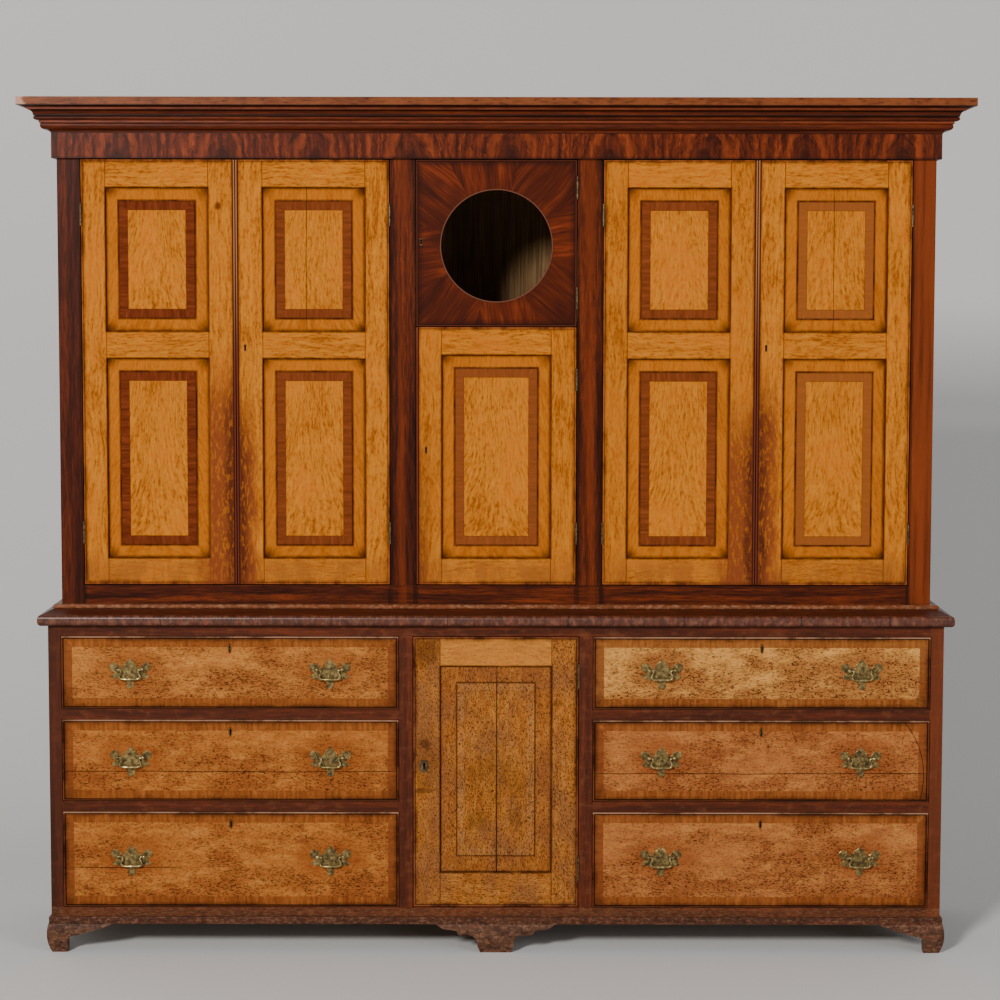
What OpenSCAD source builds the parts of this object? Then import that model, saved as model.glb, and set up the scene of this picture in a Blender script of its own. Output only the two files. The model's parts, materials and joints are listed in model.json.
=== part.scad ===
// Housekeeper's cupboard in two sections, in millimetres.
// Upper section: four panelled doors, a clock door and a middle door under a frieze and cornice.
// Base section: six cock-beaded drawers on both sides of a panelled door, on bracket feet.
// X is to the right, -Y is the front, Z is up. Origin: floor level, middle of width and depth.

/* [Overall] */
// Height from the floor to the top of the cornice
total_h = 2134; // [2000:1:2300]
// Width of the upper case over its sides
upper_w = 2175; // [2100:5:2400]
// Depth of the upper case
upper_d = 479; // [430:1:560]
// How far the base case stands out beyond the upper case
base_out = 31; // [24:1:40]
// Thickness of the case boards and frames
board_t = 22; // [18:0.5:26]
// Thickness of the back boards
back_t = 12; // [8:0.5:16]

/* [Cornice and frieze] */
// Height of the cornice
cornice_h = 84; // [76:1:100]
// How far the cornice stands out from the case
cornice_out = 84; // [76:1:100]
// Height of the frieze
frieze_h = 61.6; // [50:0.1:90]
// Thickness of the frieze boards
frieze_t = 11.5; // [9:0.5:16]

/* [Waist and foot mouldings] */
// Height of the waist moulding
waist_h = 40; // [36:1:50]
// How far the waist moulding stands out from the upper case
waist_out = 54; // [50:1:64]
// Height of the thin moulding at the foot of the upper case
upper_mould_h = 11.5; // [8:0.5:16]
// How far the thin moulding stands out
upper_mould_out = 19.5; // [12:0.5:22]
// Height of the moulding round the foot of the base
base_mould_h = 18; // [14:0.5:24]
// How far the foot moulding stands out from the base
base_mould_out = 6; // [3:0.5:8]
// Height of the bracket feet
foot_h = 74; // [60:1:100]

/* [Upper frame] */
// Width of the outer stiles of the upper case
upper_stile_w = 56.5; // [45:0.5:70]
// Width of the two upright rails beside the centre doors
muntin_w = 63; // [50:0.5:75]
// Width of the centre opening
centre_w = 402; // [380:1:450]
// Height of the rail below the upper doors
upper_rail_h = 58.5; // [45:0.5:70]
// Height of the opening of the clock door
clock_open_h = 414; // [380:1:450]

/* [Base frame] */
// Width of the outer stiles of the base case
base_stile_w = 31; // [24:0.5:40]
// Width of the upright rails beside the base door
base_muntin_w = 33.5; // [28:0.5:45]
// Width of the opening of the base door
base_centre_w = 417; // [380:1:450]
// Height of the bottom rail of the base
base_rail_h = 42; // [34:1:50]
// Height of the rail below the waist moulding
waist_rail_h = 26; // [20:1:34]
// Height of the rails between the drawers
drawer_rail_h = 26; // [20:1:34]
// Height of the opening of each top drawer
top_drawer_h = 184.5; // [160:0.5:200]
// Height of the opening of each middle drawer
middle_drawer_h = 207.5; // [180:0.5:225]
// Height of the opening of each bottom drawer
bottom_drawer_h = 244; // [236:1:252]

/* [Doors] */
// Gap round doors
door_gap = 2; // [1.6:0.1:2.6]
// Thickness of the doors
door_t = 22; // [19:0.5:25]
// Width of the bead round doors and drawers
bead_w = 4; // [3:0.2:5]
// Width of the hinge stile of the four side doors, with its bead
hinge_stile_w = 60; // [50:1:70]
// Width of the meeting stile of the four side doors, with its bead
meeting_stile_w = 66; // [55:1:75]
// Width of the stiles of the middle door
middle_stile_w = 63; // [55:1:72]
// Height of the top rail of the upper doors
top_rail_h = 69; // [55:1:80]
// Height of the lock rail of the side doors
lock_rail_h = 67; // [55:1:80]
// Height of the bottom rail of the upper doors
bottom_rail_h = 66; // [55:1:80]
// Height of the upper panels of the side doors
upper_panel_h = 355.5; // [320:0.5:380]
// Width of the stiles of the base door
base_stile_door_w = 67; // [55:1:76]
// Height of the top rail of the base door
base_top_rail_h = 74; // [60:1:85]
// Height of the bottom rail of the base door
base_bottom_rail_h = 87.5; // [70:0.5:95]
// Width of the sloping margin round a raised panel
margin_w = 33; // [26:0.5:38]
// Width of the cross-grained bands
band_w = 22.5; // [18:0.5:26]
// Radius of the round opening in the clock door
dial_r = 137.5; // [110:0.5:150]

/* [Hinges] */
// Length of the butt hinges of the upper doors
hinge_l = 52; // [42:1:64]
// Length of the butt hinges of the base door
base_hinge_l = 60; // [50:1:76]
// Outer radius of the hinge knuckles
knuckle_r = 2.8; // [2.5:0.1:3]
// Radius of the hinge pins
pin_r = 1.2; // [1:0.1:1.4]

/* [Drawers and handles] */
// Gap round the drawer fronts
drawer_gap = 1.5; // [1.2:0.1:2]
// Thickness of the drawer sides and backs
lining_t = 10; // [8:0.5:13]
// Length of the drawers from front to back
drawer_l = 470; // [400:1:475]
// Distance from the drawer opening's ends to the handles
handle_inset = 173; // [140:1:220]
// Distance between the two posts of a handle
post_span = 63.5; // [58:0.5:70]
// Distance of the bail's pivot from the drawer front
pivot_out = 13; // [12:0.5:16]

/* [Hidden] */
$fn = 48;
FIT = 0.1;
RUN = 0.05;
SEAT = 0.3;
y_back = (upper_d + cornice_out) / 2;
y_up = y_back - upper_d;
y_base = y_up - base_out;
y_inner = y_back - back_t;
up_half = upper_w / 2;
base_half = up_half + base_out;

z_base_open = foot_h + base_rail_h;
z_top = total_h - cornice_h;
z_door_top = z_top - frieze_h;
z_drawer_3 = z_base_open;
z_drawer_2 = z_drawer_3 + bottom_drawer_h + drawer_rail_h;
z_drawer_1 = z_drawer_2 + middle_drawer_h + drawer_rail_h;
z_base_rail = z_drawer_1 + top_drawer_h;
z_waist = z_base_rail + waist_rail_h;
z_joint = z_waist + waist_h;
z_open = z_joint + upper_rail_h;
z_clock = z_door_top - clock_open_h;

case_top_t = 20;
stop_h = 10;
top_board_z = z_door_top - stop_h - 2;
floor_z = z_open + stop_h;
base_top_t = 18;
dust_z = z_waist + base_top_t;
shelf_t = 18;
partition_t = 20;
door_back = y_up + door_t + 0.3;

centre_half = centre_w / 2;
bay_in = centre_half + muntin_w;
bay_out = up_half - upper_stile_w;
bay_w = bay_out - bay_in;
side_door_w = (bay_w - 3 * door_gap) / 2;
upper_door_h = z_door_top - z_open - 2 * door_gap;
middle_door_h = z_clock - z_open - 1.5 * door_gap;
clock_door_h = clock_open_h - 1.5 * door_gap;
centre_door_w = centre_w - 2 * door_gap;
muntin_mid = centre_half + muntin_w / 2;

base_centre_half = base_centre_w / 2;
drawer_in = base_centre_half + base_muntin_w;
drawer_out = base_half - base_stile_w;
drawer_open_w = drawer_out - drawer_in;
base_muntin_mid = base_centre_half + base_muntin_w / 2;
base_door_w = base_centre_w - 2 * door_gap;
base_door_h = z_base_rail - z_base_open - 2 * door_gap;

hinge_y = -1.8;
leaf_t = 1.4;
leaf_d = 19;
relief_r = knuckle_r + 0.5;
upper_hinge_drop = 138;
lower_hinge_rise = 131;
base_hinge_drop = 100;
clock_hinge_in = 71;

dial_drop = 213.7;
waist_nose_r = 10;
keyhole_r = 3.6;
lock_depth = 13;
side_key_in = 22;
side_key_drop = 6;
clock_key_in = 12;
clock_key_up = 10;
middle_key_in = 24;
base_key_in = 27;
centre_key_up = 16;
drawer_key_drop = 32;

// Drawer openings from the top: height above the floor, opening height
DRAWERS = [
    [z_drawer_1, top_drawer_h],
    [z_drawer_2, middle_drawer_h],
    [z_drawer_3, bottom_drawer_h]
];
front_t = 22;
bead_out = 2;
plate_t = 1.4;
plate_drop = 1;
post_rise = 9.5;
post_r = 3.2;
bail_r = 2.4;
bail_pin_r = 2;

// A box from its low corner to its high corner
module box(low, high) {
    translate(low) cube(high - low);
}

// Both hands of a piece
module pair() {
    children();
    mirror([1, 0, 0]) children();
}

// A profile run along X. Its x is the distance out from the face at y_face, its y is the height.
module run_x(x0, x1, y_face) {
    translate([x0, y_face, 0]) rotate([90, 0, 90]) mirror([1, 0, 0]) linear_extrude(x1 - x0) children();
}

// A profile run from front to back. Its x is the distance out from the face at x_face.
module run_y(x_face, y0, y1) {
    translate([x_face, y1, 0]) rotate([90, 0, 0]) linear_extrude(y1 - y0) children();
}

// A moulding round the front and both ends of a case, mitred at the two front corners
module mitred_run(half, y_face, low, high) {
    far = 400;
    near = half - far;
    intersection() {
        run_x(-half - far, half + far, y_face) children();
        translate([0, 0, low]) linear_extrude(high - low) polygon([
            [-half - far + FIT, y_face - far], [half + far - FIT, y_face - far],
            [near - FIT, y_face + far], [-near + FIT, y_face + far]
        ]);
    }
    pair() intersection() {
        run_y(half, y_face - far, y_back) children();
        translate([0, 0, low]) linear_extrude(high - low) polygon([
            [half + far, y_face - far + FIT], [half + far, y_back],
            [near, y_back], [near, y_face + far + FIT]
        ]);
    }
}

// Cornice: ogee, fillet, bead, hollow, fillet, slope and square top fillet
module cornice_profile() {
    k = cornice_out / 84;
    m = cornice_h / 84;
    translate([0, z_top]) difference() {
        union() {
            polygon([
                [-board_t, 0], [12 * k, 0], [12 * k, 2.5 * m], [23 * k, 2.5 * m], [23 * k, 14 * m],
                [33 * k, 23.5 * m], [36.5 * k, 23.5 * m], [36.5 * k, 30 * m], [42 * k, 30 * m],
                [42 * k, 40.5 * m], [48 * k, 40.5 * m], [48 * k, 42.5 * m], [62 * k, 55 * m],
                [62 * k, 57.5 * m], [65 * k, 57.5 * m], [65 * k, 59.5 * m], [77 * k, 64 * m],
                [cornice_out, 64 * m], [cornice_out, cornice_h], [-board_t, cornice_h]
            ]);
            translate([25 * k, 17.5 * m]) circle(r = 9.3 * m);
            translate([43.5 * k, 35.2 * m]) circle(r = 4.6 * m);
        }
        translate([23.5 * k, 0]) circle(r = 10.2 * m);
        translate([61.6 * k, 41.4 * m]) circle(r = 13.3 * m);
    }
}

module cornice_moulding() {
    color("saddlebrown") {
        mitred_run(up_half, y_up, z_top, total_h) cornice_profile();
        rear = up_half - board_t - FIT;
        box([-rear, y_inner - board_t, z_top], [rear, y_inner, z_top + cornice_h * 0.7]);
    }
}

module frieze_boards() {
    color("sienna") mitred_run(up_half, y_up, z_door_top, z_top)
        translate([0, z_door_top]) square([frieze_t, frieze_h]);
}

module upper_case_sides() {
    color("maroon") pair()
        box([up_half - board_t, y_up + board_t, z_joint], [up_half, y_back, z_top]);
}

module upper_top_and_bottom() {
    inside = up_half - board_t;
    color("burlywood") {
        box([-inside, door_back, top_board_z], [inside, y_inner, top_board_z + case_top_t]);
        box([-inside, door_back, floor_z - case_top_t], [inside, y_inner, floor_z]);
    }
}

module upper_partitions() {
    color("burlywood") pair() box(
        [muntin_mid - partition_t / 2, y_up + board_t, floor_z],
        [muntin_mid + partition_t / 2, y_inner, top_board_z]
    );
}

// Recess in a frame's edge for a hinge leaf, with room for the turning knuckles
module hinge_recess(axis_x, axis_y, side, mid_z, l) {
    edge = axis_x + side * door_gap / 2;
    far = edge + side * leaf_t;
    box(
        [min(edge - side, far), axis_y, mid_z - l / 2 - FIT],
        [max(edge - side, far), axis_y - hinge_y + leaf_d, mid_z + l / 2 + FIT]
    );
    translate([axis_x, axis_y, mid_z - l / 2 - 2.5]) cylinder(r = relief_r, h = l + 5);
}

// Every butt hinge: pivot x, front plane of the door, middle height, length, side of the case
function hinges() = [
    for (s = [-1, 1], z = [z_door_top - upper_hinge_drop, z_open + lower_hinge_rise])
        [s * (bay_out - door_gap / 2), y_up, z, hinge_l, s],
    for (s = [-1, 1], z = [z_door_top - upper_hinge_drop, z_open + lower_hinge_rise])
        [s * (bay_in + door_gap / 2), y_up, z, hinge_l, -s],
    for (z = [z_door_top - clock_hinge_in, z_clock + clock_hinge_in])
        [centre_half - door_gap / 2, y_up, z, hinge_l, 1],
    for (z = [z_clock - lower_hinge_rise, z_open + lower_hinge_rise])
        [centre_half - door_gap / 2, y_up, z, hinge_l, 1],
    for (z = [z_base_rail - base_hinge_drop, z_base_open + base_hinge_drop])
        [base_centre_half - door_gap / 2, y_base, z, base_hinge_l, 1]
];

// Which hinges belong to which door
DOOR_1 = [0, 1];
DOOR_4 = [2, 3];
DOOR_2 = [4, 5];
DOOR_3 = [6, 7];
CLOCK_DOOR = [8, 9];
MIDDLE_DOOR = [10, 11];
BASE_DOOR = [12, 13];

module case_recesses(list) {
    for (i = list) {
        h = hinges()[i];
        hinge_recess(h[0], h[1] + hinge_y, h[4], h[2], h[3]);
    }
}

module door_recesses(list) {
    for (i = list) {
        h = hinges()[i];
        hinge_recess(h[0], h[1] + hinge_y, -h[4], h[2], h[3]);
    }
}

tenon_l = 26;
// A rail between two uprights, with a tenon at each end
module tenoned_rail(x0, x1, z0, z1, y0, t) {
    shoulder = min(10, (z1 - z0) / 4);
    box([x0 + FIT, y0, z0], [x1 - FIT, y0 + t, z1]);
    box([x0 - tenon_l, y0 + t / 3, z0 + shoulder], [x1 + tenon_l, y0 + t * 2 / 3, z1 - shoulder]);
}

// The mortise that takes a tenon
module mortise(x0, x1, z0, z1, y0, t) {
    shoulder = min(10, (z1 - z0) / 4);
    box(
        [x0 - FIT, y0 + t / 3 - FIT, z0 + shoulder - FIT],
        [x1 + FIT, y0 + t * 2 / 3 + FIT, z1 - shoulder + FIT]
    );
}

module upper_face_frame() {
    y0 = y_up;
    color("maroon") {
        pair() difference() {
            box([bay_out, y0, z_joint], [up_half, y0 + board_t, z_top]);
            mortise(bay_out - 1, bay_out + tenon_l, z_door_top, z_top, y0, board_t);
            mortise(bay_out - 1, bay_out + tenon_l, z_joint, z_open, y0, board_t);
            case_recesses(DOOR_4);
        }
        tenoned_rail(-bay_out, bay_out, z_door_top, z_top, y0, board_t);
        tenoned_rail(-bay_out, bay_out, z_joint, z_open, y0, board_t);
        for (s = [-1, 1]) difference() {
            box(
                [s * muntin_mid - muntin_w / 2, y0, z_open + FIT],
                [s * muntin_mid + muntin_w / 2, y0 + board_t, z_door_top - FIT]
            );
            case_recesses(s < 0 ? DOOR_2 : DOOR_3);
            if (s > 0) case_recesses(CLOCK_DOOR);
            if (s > 0) case_recesses(MIDDLE_DOOR);
        }
    }
}

module shelf(x0, x1, z, y0) {
    box([x0, y0, z - shelf_t / 2], [x1, y_inner, z + shelf_t / 2]);
}

module shelves() {
    inner = muntin_mid + partition_t / 2;
    outer = up_half - board_t;
    room = top_board_z - floor_z;
    setback = 40;
    color("burlywood") {
        pair() for (f = [1 / 3, 2 / 3])
            shelf(inner, outer, floor_z + room * f, y_up + setback);
        shelf(-inner + partition_t, inner - partition_t, z_clock, door_back);
        shelf(-inner + partition_t, inner - partition_t, (floor_z + z_clock) / 2, y_up + setback);
    }
}

// A row of upright boards with a narrow gap at each joint, each lapped behind the next
module board_row(half, z0, z1, n) {
    gap = 1.5;
    lap = 8;
    mid = (y_inner + y_back) / 2;
    w = 2 * half / n;
    for (i = [0:n - 1]) {
        left = -half + i * w + gap / 2;
        right = -half + (i + 1) * w - gap / 2;
        box([left, y_inner, z0], [right, mid, z1]);
        box([i > 0 ? left + lap : left, mid - 1, z0], [right, y_back, z1]);
        if (i < n - 1) box([right - 1, mid + FIT, z0], [right + lap, y_back, z1]);
    }
}

module back_boards() {
    color("tan") {
        board_row(up_half - board_t, z_joint, top_board_z + case_top_t, 10);
        board_row(base_half - board_t, foot_h, z_waist, 10);
    }
}

// Waist: a rounded nose below a hollow slope, lipped over the edge of the base top
module waist_profile() {
    nose_r = waist_nose_r;
    lip = 30;
    slope_end = z_joint - waist_h * 0.3;
    difference() {
        union() {
            polygon([
                [-lip, z_joint], [upper_mould_out + 0.5, z_joint], [waist_out - nose_r, slope_end],
                [waist_out, slope_end - nose_r], [waist_out, z_waist + nose_r],
                [waist_out - nose_r, z_waist], [base_out, z_waist], [base_out, dust_z],
                [-lip, dust_z]
            ]);
            translate([waist_out - nose_r, slope_end - nose_r]) circle(r = nose_r);
            translate([waist_out - nose_r, z_waist + nose_r]) circle(r = nose_r);
        }
        translate([waist_out - 4, z_joint + 26]) circle(r = 37);
    }
}

module waist_moulding() {
    color("saddlebrown") mitred_run(up_half, y_up, z_waist, z_joint) waist_profile();
}

module upper_foot_moulding() {
    r = upper_mould_h * 0.45;
    color("saddlebrown") mitred_run(up_half, y_up, z_joint, z_joint + upper_mould_h)
        translate([0, z_joint]) union() {
            square([upper_mould_out - r, upper_mould_h]);
            translate([0, r]) square([upper_mould_out, upper_mould_h - 2 * r]);
            for (z = [r, upper_mould_h - r]) translate([upper_mould_out - r, z]) circle(r = r);
        }
}

module base_case_boards() {
    inside = base_half - board_t;
    low = z_base_open - shelf_t;
    color("burlywood") {
        pair() box([inside, y_base + board_t, foot_h], [base_half, y_back, z_waist - FIT]);
        box([-base_half, y_base, z_waist], [base_half, y_back, dust_z]);
        box([-inside + FIT, y_base + board_t, low], [inside - FIT, y_inner, z_base_open]);
        pair() box(
            [base_muntin_mid - partition_t / 2, y_base + board_t, z_base_open + FIT],
            [base_muntin_mid + partition_t / 2, y_inner, z_waist - FIT]
        );
    }
}

module base_face_frame() {
    y0 = y_base;
    mid = base_muntin_mid;
    color("maroon") {
        pair() difference() {
            box([drawer_out, y0, foot_h], [base_half, y0 + board_t, z_waist]);
            mortise(drawer_out - 1, drawer_out + tenon_l, z_base_rail, z_waist, y0, board_t);
            mortise(drawer_out - 1, drawer_out + tenon_l, foot_h, z_base_open, y0, board_t);
        }
        tenoned_rail(-drawer_out, drawer_out, z_base_rail, z_waist, y0, board_t);
        tenoned_rail(-drawer_out, drawer_out, foot_h, z_base_open, y0, board_t);
        for (s = [-1, 1]) difference() {
            box(
                [s * mid - base_muntin_w / 2, y0, z_base_open + FIT],
                [s * mid + base_muntin_w / 2, y0 + board_t, z_base_rail - FIT]
            );
            if (s > 0) case_recesses(BASE_DOOR);
        }
        pair() for (z = [z_drawer_1, z_drawer_2])
            box([drawer_in + FIT, y0, z - drawer_rail_h], [drawer_out - FIT, y0 + board_t, z]);
    }
}

// Runner and side guide in one L-shaped strip on each side of a drawer
module drawer_runners() {
    inner = base_muntin_mid + partition_t / 2;
    outer = base_half - board_t;
    y0 = y_base + board_t;
    tread = 34;
    guide_h = 40;
    thick = 20;
    color("burlywood") pair() for (z = [z_drawer_1, z_drawer_2, z_drawer_3]) {
        under = z > z_drawer_3 ? thick : 0;
        tread_w = z > z_drawer_3 ? tread : 0;
        run_y(0, y0, y_inner) polygon([
            [inner, z - under], [drawer_in + tread_w, z - under], [drawer_in + tread_w, z],
            [drawer_in, z], [drawer_in, z + guide_h], [inner, z + guide_h]
        ]);
        run_y(0, y0, y_inner) polygon([
            [outer, z - under], [drawer_out - tread_w, z - under], [drawer_out - tread_w, z],
            [drawer_out, z], [drawer_out, z + guide_h], [outer, z + guide_h]
        ]);
    }
}

module base_moulding() {
    r = base_mould_out * 0.45;
    color("saddlebrown") mitred_run(base_half, y_base, foot_h, foot_h + base_mould_h)
        translate([0, foot_h]) union() {
            square([base_mould_out, base_mould_h - r]);
            square([base_mould_out - r, base_mould_h]);
            translate([base_mould_out - r, base_mould_h - r]) circle(r = r);
        }
}

foot_t = 20;
foot_swell = 11;
foot_block = 18;
rear_block = 45;
foot_past = 20;
foot_span = 200;
// Swelling outer face of a bracket foot, seen end on
module foot_section() {
    r = 100;
    intersection() {
        translate([-foot_t, 0]) square([foot_t + foot_swell, foot_h]);
        translate([foot_swell - r, foot_h * 0.64]) circle(r = r, $fn = 96);
    }
}

// Corner bracket outline, x from the case corner inwards
module corner_outline() {
    k = foot_h / 74;
    difference() {
        translate([-foot_swell - 1, 0]) square([foot_swell + 1 + 151, foot_h]);
        polygon([
            [39, -1], [41, 21 * k], [56, 43 * k], [78, 49 * k], [107, 57 * k], [128, 63.5 * k],
            [144, 69.5 * k], [151, 73 * k], [160, 73 * k], [160, -1]
        ]);
        translate([59, 25 * k]) circle(r = 19);
    }
}

// Centre bracket outline, half of it, x from the middle outwards
module centre_outline() {
    k = foot_h / 74;
    difference() {
        translate([-1, 0]) square([153, foot_h]);
        polygon([
            [38, -1], [44, 12 * k], [46, 20 * k], [58, 40 * k], [72, 46 * k], [92, 47 * k],
            [97, 52 * k], [108, 60 * k], [130, 61.5 * k], [140, 66 * k], [148, 73 * k],
            [160, 73 * k], [160, -1]
        ]);
        translate([69, 24 * k]) circle(r = 23);
        translate([104.5, 50 * k]) circle(r = 8.5);
    }
}

module foot_front(x_face) {
    intersection() {
        run_x(-base_half - 20, base_half + 20, y_base) foot_section();
        translate([x_face, y_base + 30, 0]) rotate([90, 0, 0]) linear_extrude(60) children();
    }
}

module corner_foot() {
    half = base_half;
    block = foot_block;
    inside = half - foot_t;
    past = foot_past;
    span = foot_span;
    intersection() {
        foot_front(0) translate([half, 0]) mirror([1, 0]) corner_outline();
        linear_extrude(foot_h) polygon([
            [half - span, y_base + span + FIT * 2], [half - span, y_base - past],
            [half + past - FIT, y_base - past]
        ]);
    }
    intersection() {
        run_y(half, y_base - past, y_base + span) foot_section();
        translate([half - 30, y_base, 0]) rotate([90, 0, 90]) linear_extrude(60) corner_outline();
        linear_extrude(foot_h) polygon([
            [half - span + FIT * 2, y_base + span], [half + past, y_base + span],
            [half + past, y_base - past + FIT]
        ]);
    }
    box([inside - block, y_base + foot_t + FIT, 1], [inside - FIT, y_base + foot_t + block, foot_h]);
}

module rear_foot() {
    half = base_half;
    block = rear_block;
    intersection() {
        run_y(half, y_back - foot_span, y_back) foot_section();
        translate([half - 30, y_back, 0]) mirror([0, 1, 0]) rotate([90, 0, 90])
            linear_extrude(60) corner_outline();
    }
    box([half - foot_t - block, y_back - block, 0], [half - foot_t - FIT, y_back, foot_h]);
}

module centre_foot() {
    foot_front(0) union() {
        centre_outline();
        mirror([1, 0]) centre_outline();
    }
    box([-34, y_base + foot_t + FIT, 1], [34, y_base + foot_t + rear_block, foot_h]);
}

module bracket_feet() {
    color("peru") {
        pair() corner_foot();
        pair() rear_foot();
        centre_foot();
    }
}

// One half of a butt hinge: its leaf and the knuckles it carries
module hinge_half(h, side, first) {
    l = h[3];
    step = l / 5;
    clear = 0.2;
    edge = side * door_gap / 2;
    far = edge + side * (leaf_t - FIT);
    translate([h[0], h[1] + hinge_y, h[2] - l / 2]) difference() {
        union() {
            box(
                [min(edge, far), relief_r, 0],
                [max(edge, far), leaf_d - hinge_y - FIT, l]
            );
            for (i = [first:2:4]) {
                z0 = i * step + (i > 0 ? clear : 0);
                z1 = (i + 1) * step - (i < 4 ? clear : 0);
                translate([0, 0, z0]) cylinder(r = knuckle_r, h = z1 - z0);
                box([min(edge, far), 0, z0], [max(edge, far), relief_r + FIT, z1]);
            }
        }
        translate([0, 0, -1]) cylinder(r = pin_r + RUN, h = l + 2);
    }
}

module case_hinge_halves() {
    color("darkgoldenrod") for (h = hinges()) hinge_half(h, h[4], 0);
}

module hinge_pins() {
    tip = 1.6;
    color("darkgoldenrod") for (h = hinges()) translate([h[0], h[1] + hinge_y, h[2] - h[3] / 2]) {
        cylinder(r = pin_r, h = h[3]);
        for (z = [-tip, h[3]]) translate([0, 0, z]) cylinder(r = knuckle_r - 0.4, h = tip);
    }
}

module door_hinge_halves(list) {
    color("darkgoldenrod") for (i = list) hinge_half(hinges()[i], -hinges()[i][4], 1);
}

groove_w = 7;
groove_d = 9;
field_in = 2.5;
// Raised and fielded panel that fills the light between x0, x1 and z0, z1
module raised_panel(x0, x1, z0, z1, margin) {
    mid = door_t / 2;
    tongue = groove_w / 2 - FIT;
    reach = groove_d - 1;
    intersection() {
        panel_bar(x1 - x0, mid, tongue, reach, margin, x0, z0, z1, false);
        panel_bar(z1 - z0, mid, tongue, reach, margin, z0, x0, x1, true);
    }
}

// The panel's section drawn out along one direction
module panel_bar(w, mid, tongue, reach, margin, start, low, high, upright) {
    front = mid - tongue;
    step = field_in + 2;
    section = [
        [-reach, mid + tongue], [-reach, front], [0, front], [margin, step], [margin, field_in],
        [w - margin, field_in], [w - margin, step], [w, front], [w + reach, front],
        [w + reach, mid + tongue]
    ];
    if (upright)
        translate([low - reach, 0, 0]) rotate([0, 90, 0]) linear_extrude(high - low + 2 * reach)
            polygon([for (p = section) [-p[0] - start, p[1]]]);
    else
        translate([0, 0, low - reach]) linear_extrude(high - low + 2 * reach)
            polygon([for (p = section) [p[0] + start, p[1]]]);
}

band_t = 1.2;
// Four mitred strips of cross-grained band round a rectangle
module band_strips(x0, x1, z0, z1, b, t) {
    g = FIT;
    w = x1 - x0;
    h = z1 - z0;
    translate([x0, 0, z0]) rotate([90, 0, 0]) translate([0, 0, -t]) linear_extrude(t) {
        polygon([[g, 0], [w - g, 0], [w - b - g, b], [b + g, b]]);
        polygon([[g, h], [w - g, h], [w - b - g, h - b], [b + g, h - b]]);
        polygon([[0, g], [b, b + g], [b, h - b - g], [0, h - g]]);
        polygon([[w, g], [w - b, b + g], [w - b, h - b - g], [w, h - g]]);
    }
}

// A banded panel: the raised panel with its four inlaid strips
module banded_panel(x0, x1, z0, z1) {
    m = margin_w;
    a = [x0 + m, x1 - m, z0 + m, z1 - m];
    translate([0, field_in, 0]) band_strips(a[0] + FIT, a[1] - FIT, a[2] + FIT, a[3] - FIT, band_w, band_t);
    difference() {
        raised_panel(x0, x1, z0, z1, margin_w);
        difference() {
            box([a[0] - 1, field_in - 1, a[2] - 1], [a[1] + 1, field_in + band_t + FIT, a[3] + 1]);
            box(
                [a[0] + band_w + 2 * FIT, field_in - 2, a[2] + band_w + 2 * FIT],
                [a[1] - band_w - 2 * FIT, field_in + band_t + 1, a[3] - band_w - 2 * FIT]
            );
        }
    }
}

// Cock bead round a leaf: four mitred strips with a round nose
module cock_bead(w, h, t) {
    b = bead_w;
    g = FIT;
    for (s = [0, 1]) translate([s * w, 0, 0]) mirror([s, 0, 0]) intersection() {
        linear_extrude(h) bead_section(t);
        rotate([90, 0, 0]) translate([0, 0, -t - 5]) linear_extrude(t + 10)
            polygon([[0, g], [b, b + g], [b, h - b - g], [0, h - g]]);
    }
    for (s = [0, 1]) translate([0, 0, s * h]) mirror([0, 0, s]) intersection() {
        rotate([0, 90, 0]) linear_extrude(w) rotate(180) mirror([0, 1]) bead_section(t);
        rotate([90, 0, 0]) translate([0, 0, -t - 5]) linear_extrude(t + 10)
            polygon([[g, 0], [b + g, b], [w - b - g, b], [w - g, 0]]);
    }
}

module bead_section(t) {
    r = bead_w / 2;
    square([bead_w, t]);
    translate([r, r - bead_out]) circle(r = r);
}

// Framed leaf: two stiles, its rails and the bead round them, all as separate pieces.
// rails lists the low and high edge of each rail, from the bottom up.
module framed_leaf(w, h, left_w, right_w, rails) {
    b = bead_w + FIT;
    n = len(rails);
    low = rails[0][1];
    high = rails[n - 1][0];
    difference() {
        box([b, 0, b], [left_w, door_t, h - b]);
        for (r = rails) mortise(left_w - tenon_l, left_w + 1, r[0], r[1], 0, door_t);
        panel_groove(left_w - groove_d, left_w + 1, low - groove_d, high + groove_d);
    }
    difference() {
        box([w - right_w, 0, b], [w - b, door_t, h - b]);
        for (r = rails) mortise(w - right_w - 1, w - right_w + tenon_l, r[0], r[1], 0, door_t);
        panel_groove(w - right_w - 1, w - right_w + groove_d, low - groove_d, high + groove_d);
    }
    for (i = [0:n - 1]) difference() {
        leaf_rail(left_w, w - right_w, max(rails[i][0], b), min(rails[i][1], h - b), rails[i]);
        if (i > 0) panel_groove(left_w - 50, w - right_w + 50, rails[i][0] - 1, rails[i][0] + groove_d);
        if (i < n - 1)
            panel_groove(left_w - 50, w - right_w + 50, rails[i][1] - groove_d, rails[i][1] + 1);
    }
    cock_bead(w, h, door_t);
}

module leaf_rail(x0, x1, z0, z1, r) {
    shoulder = min(10, (r[1] - r[0]) / 4);
    box([x0 + FIT, 0, z0], [x1 - FIT, door_t, z1]);
    box(
        [x0 - tenon_l + 1, door_t / 3, r[0] + shoulder],
        [x1 + tenon_l - 1, door_t * 2 / 3, r[1] - shoulder]
    );
}

module panel_groove(x0, x1, z0, z1) {
    mid = door_t / 2;
    box([x0, mid - groove_w / 2, z0], [x1, mid + groove_w / 2, z1]);
}

// Keyhole outline: a round head over a narrower foot
module keyhole_shape(r) {
    translate([0, r * 1.4]) circle(r = r);
    translate([-r * 0.72, -r * 2.6]) square([r * 1.44, r * 3.6]);
}

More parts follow.
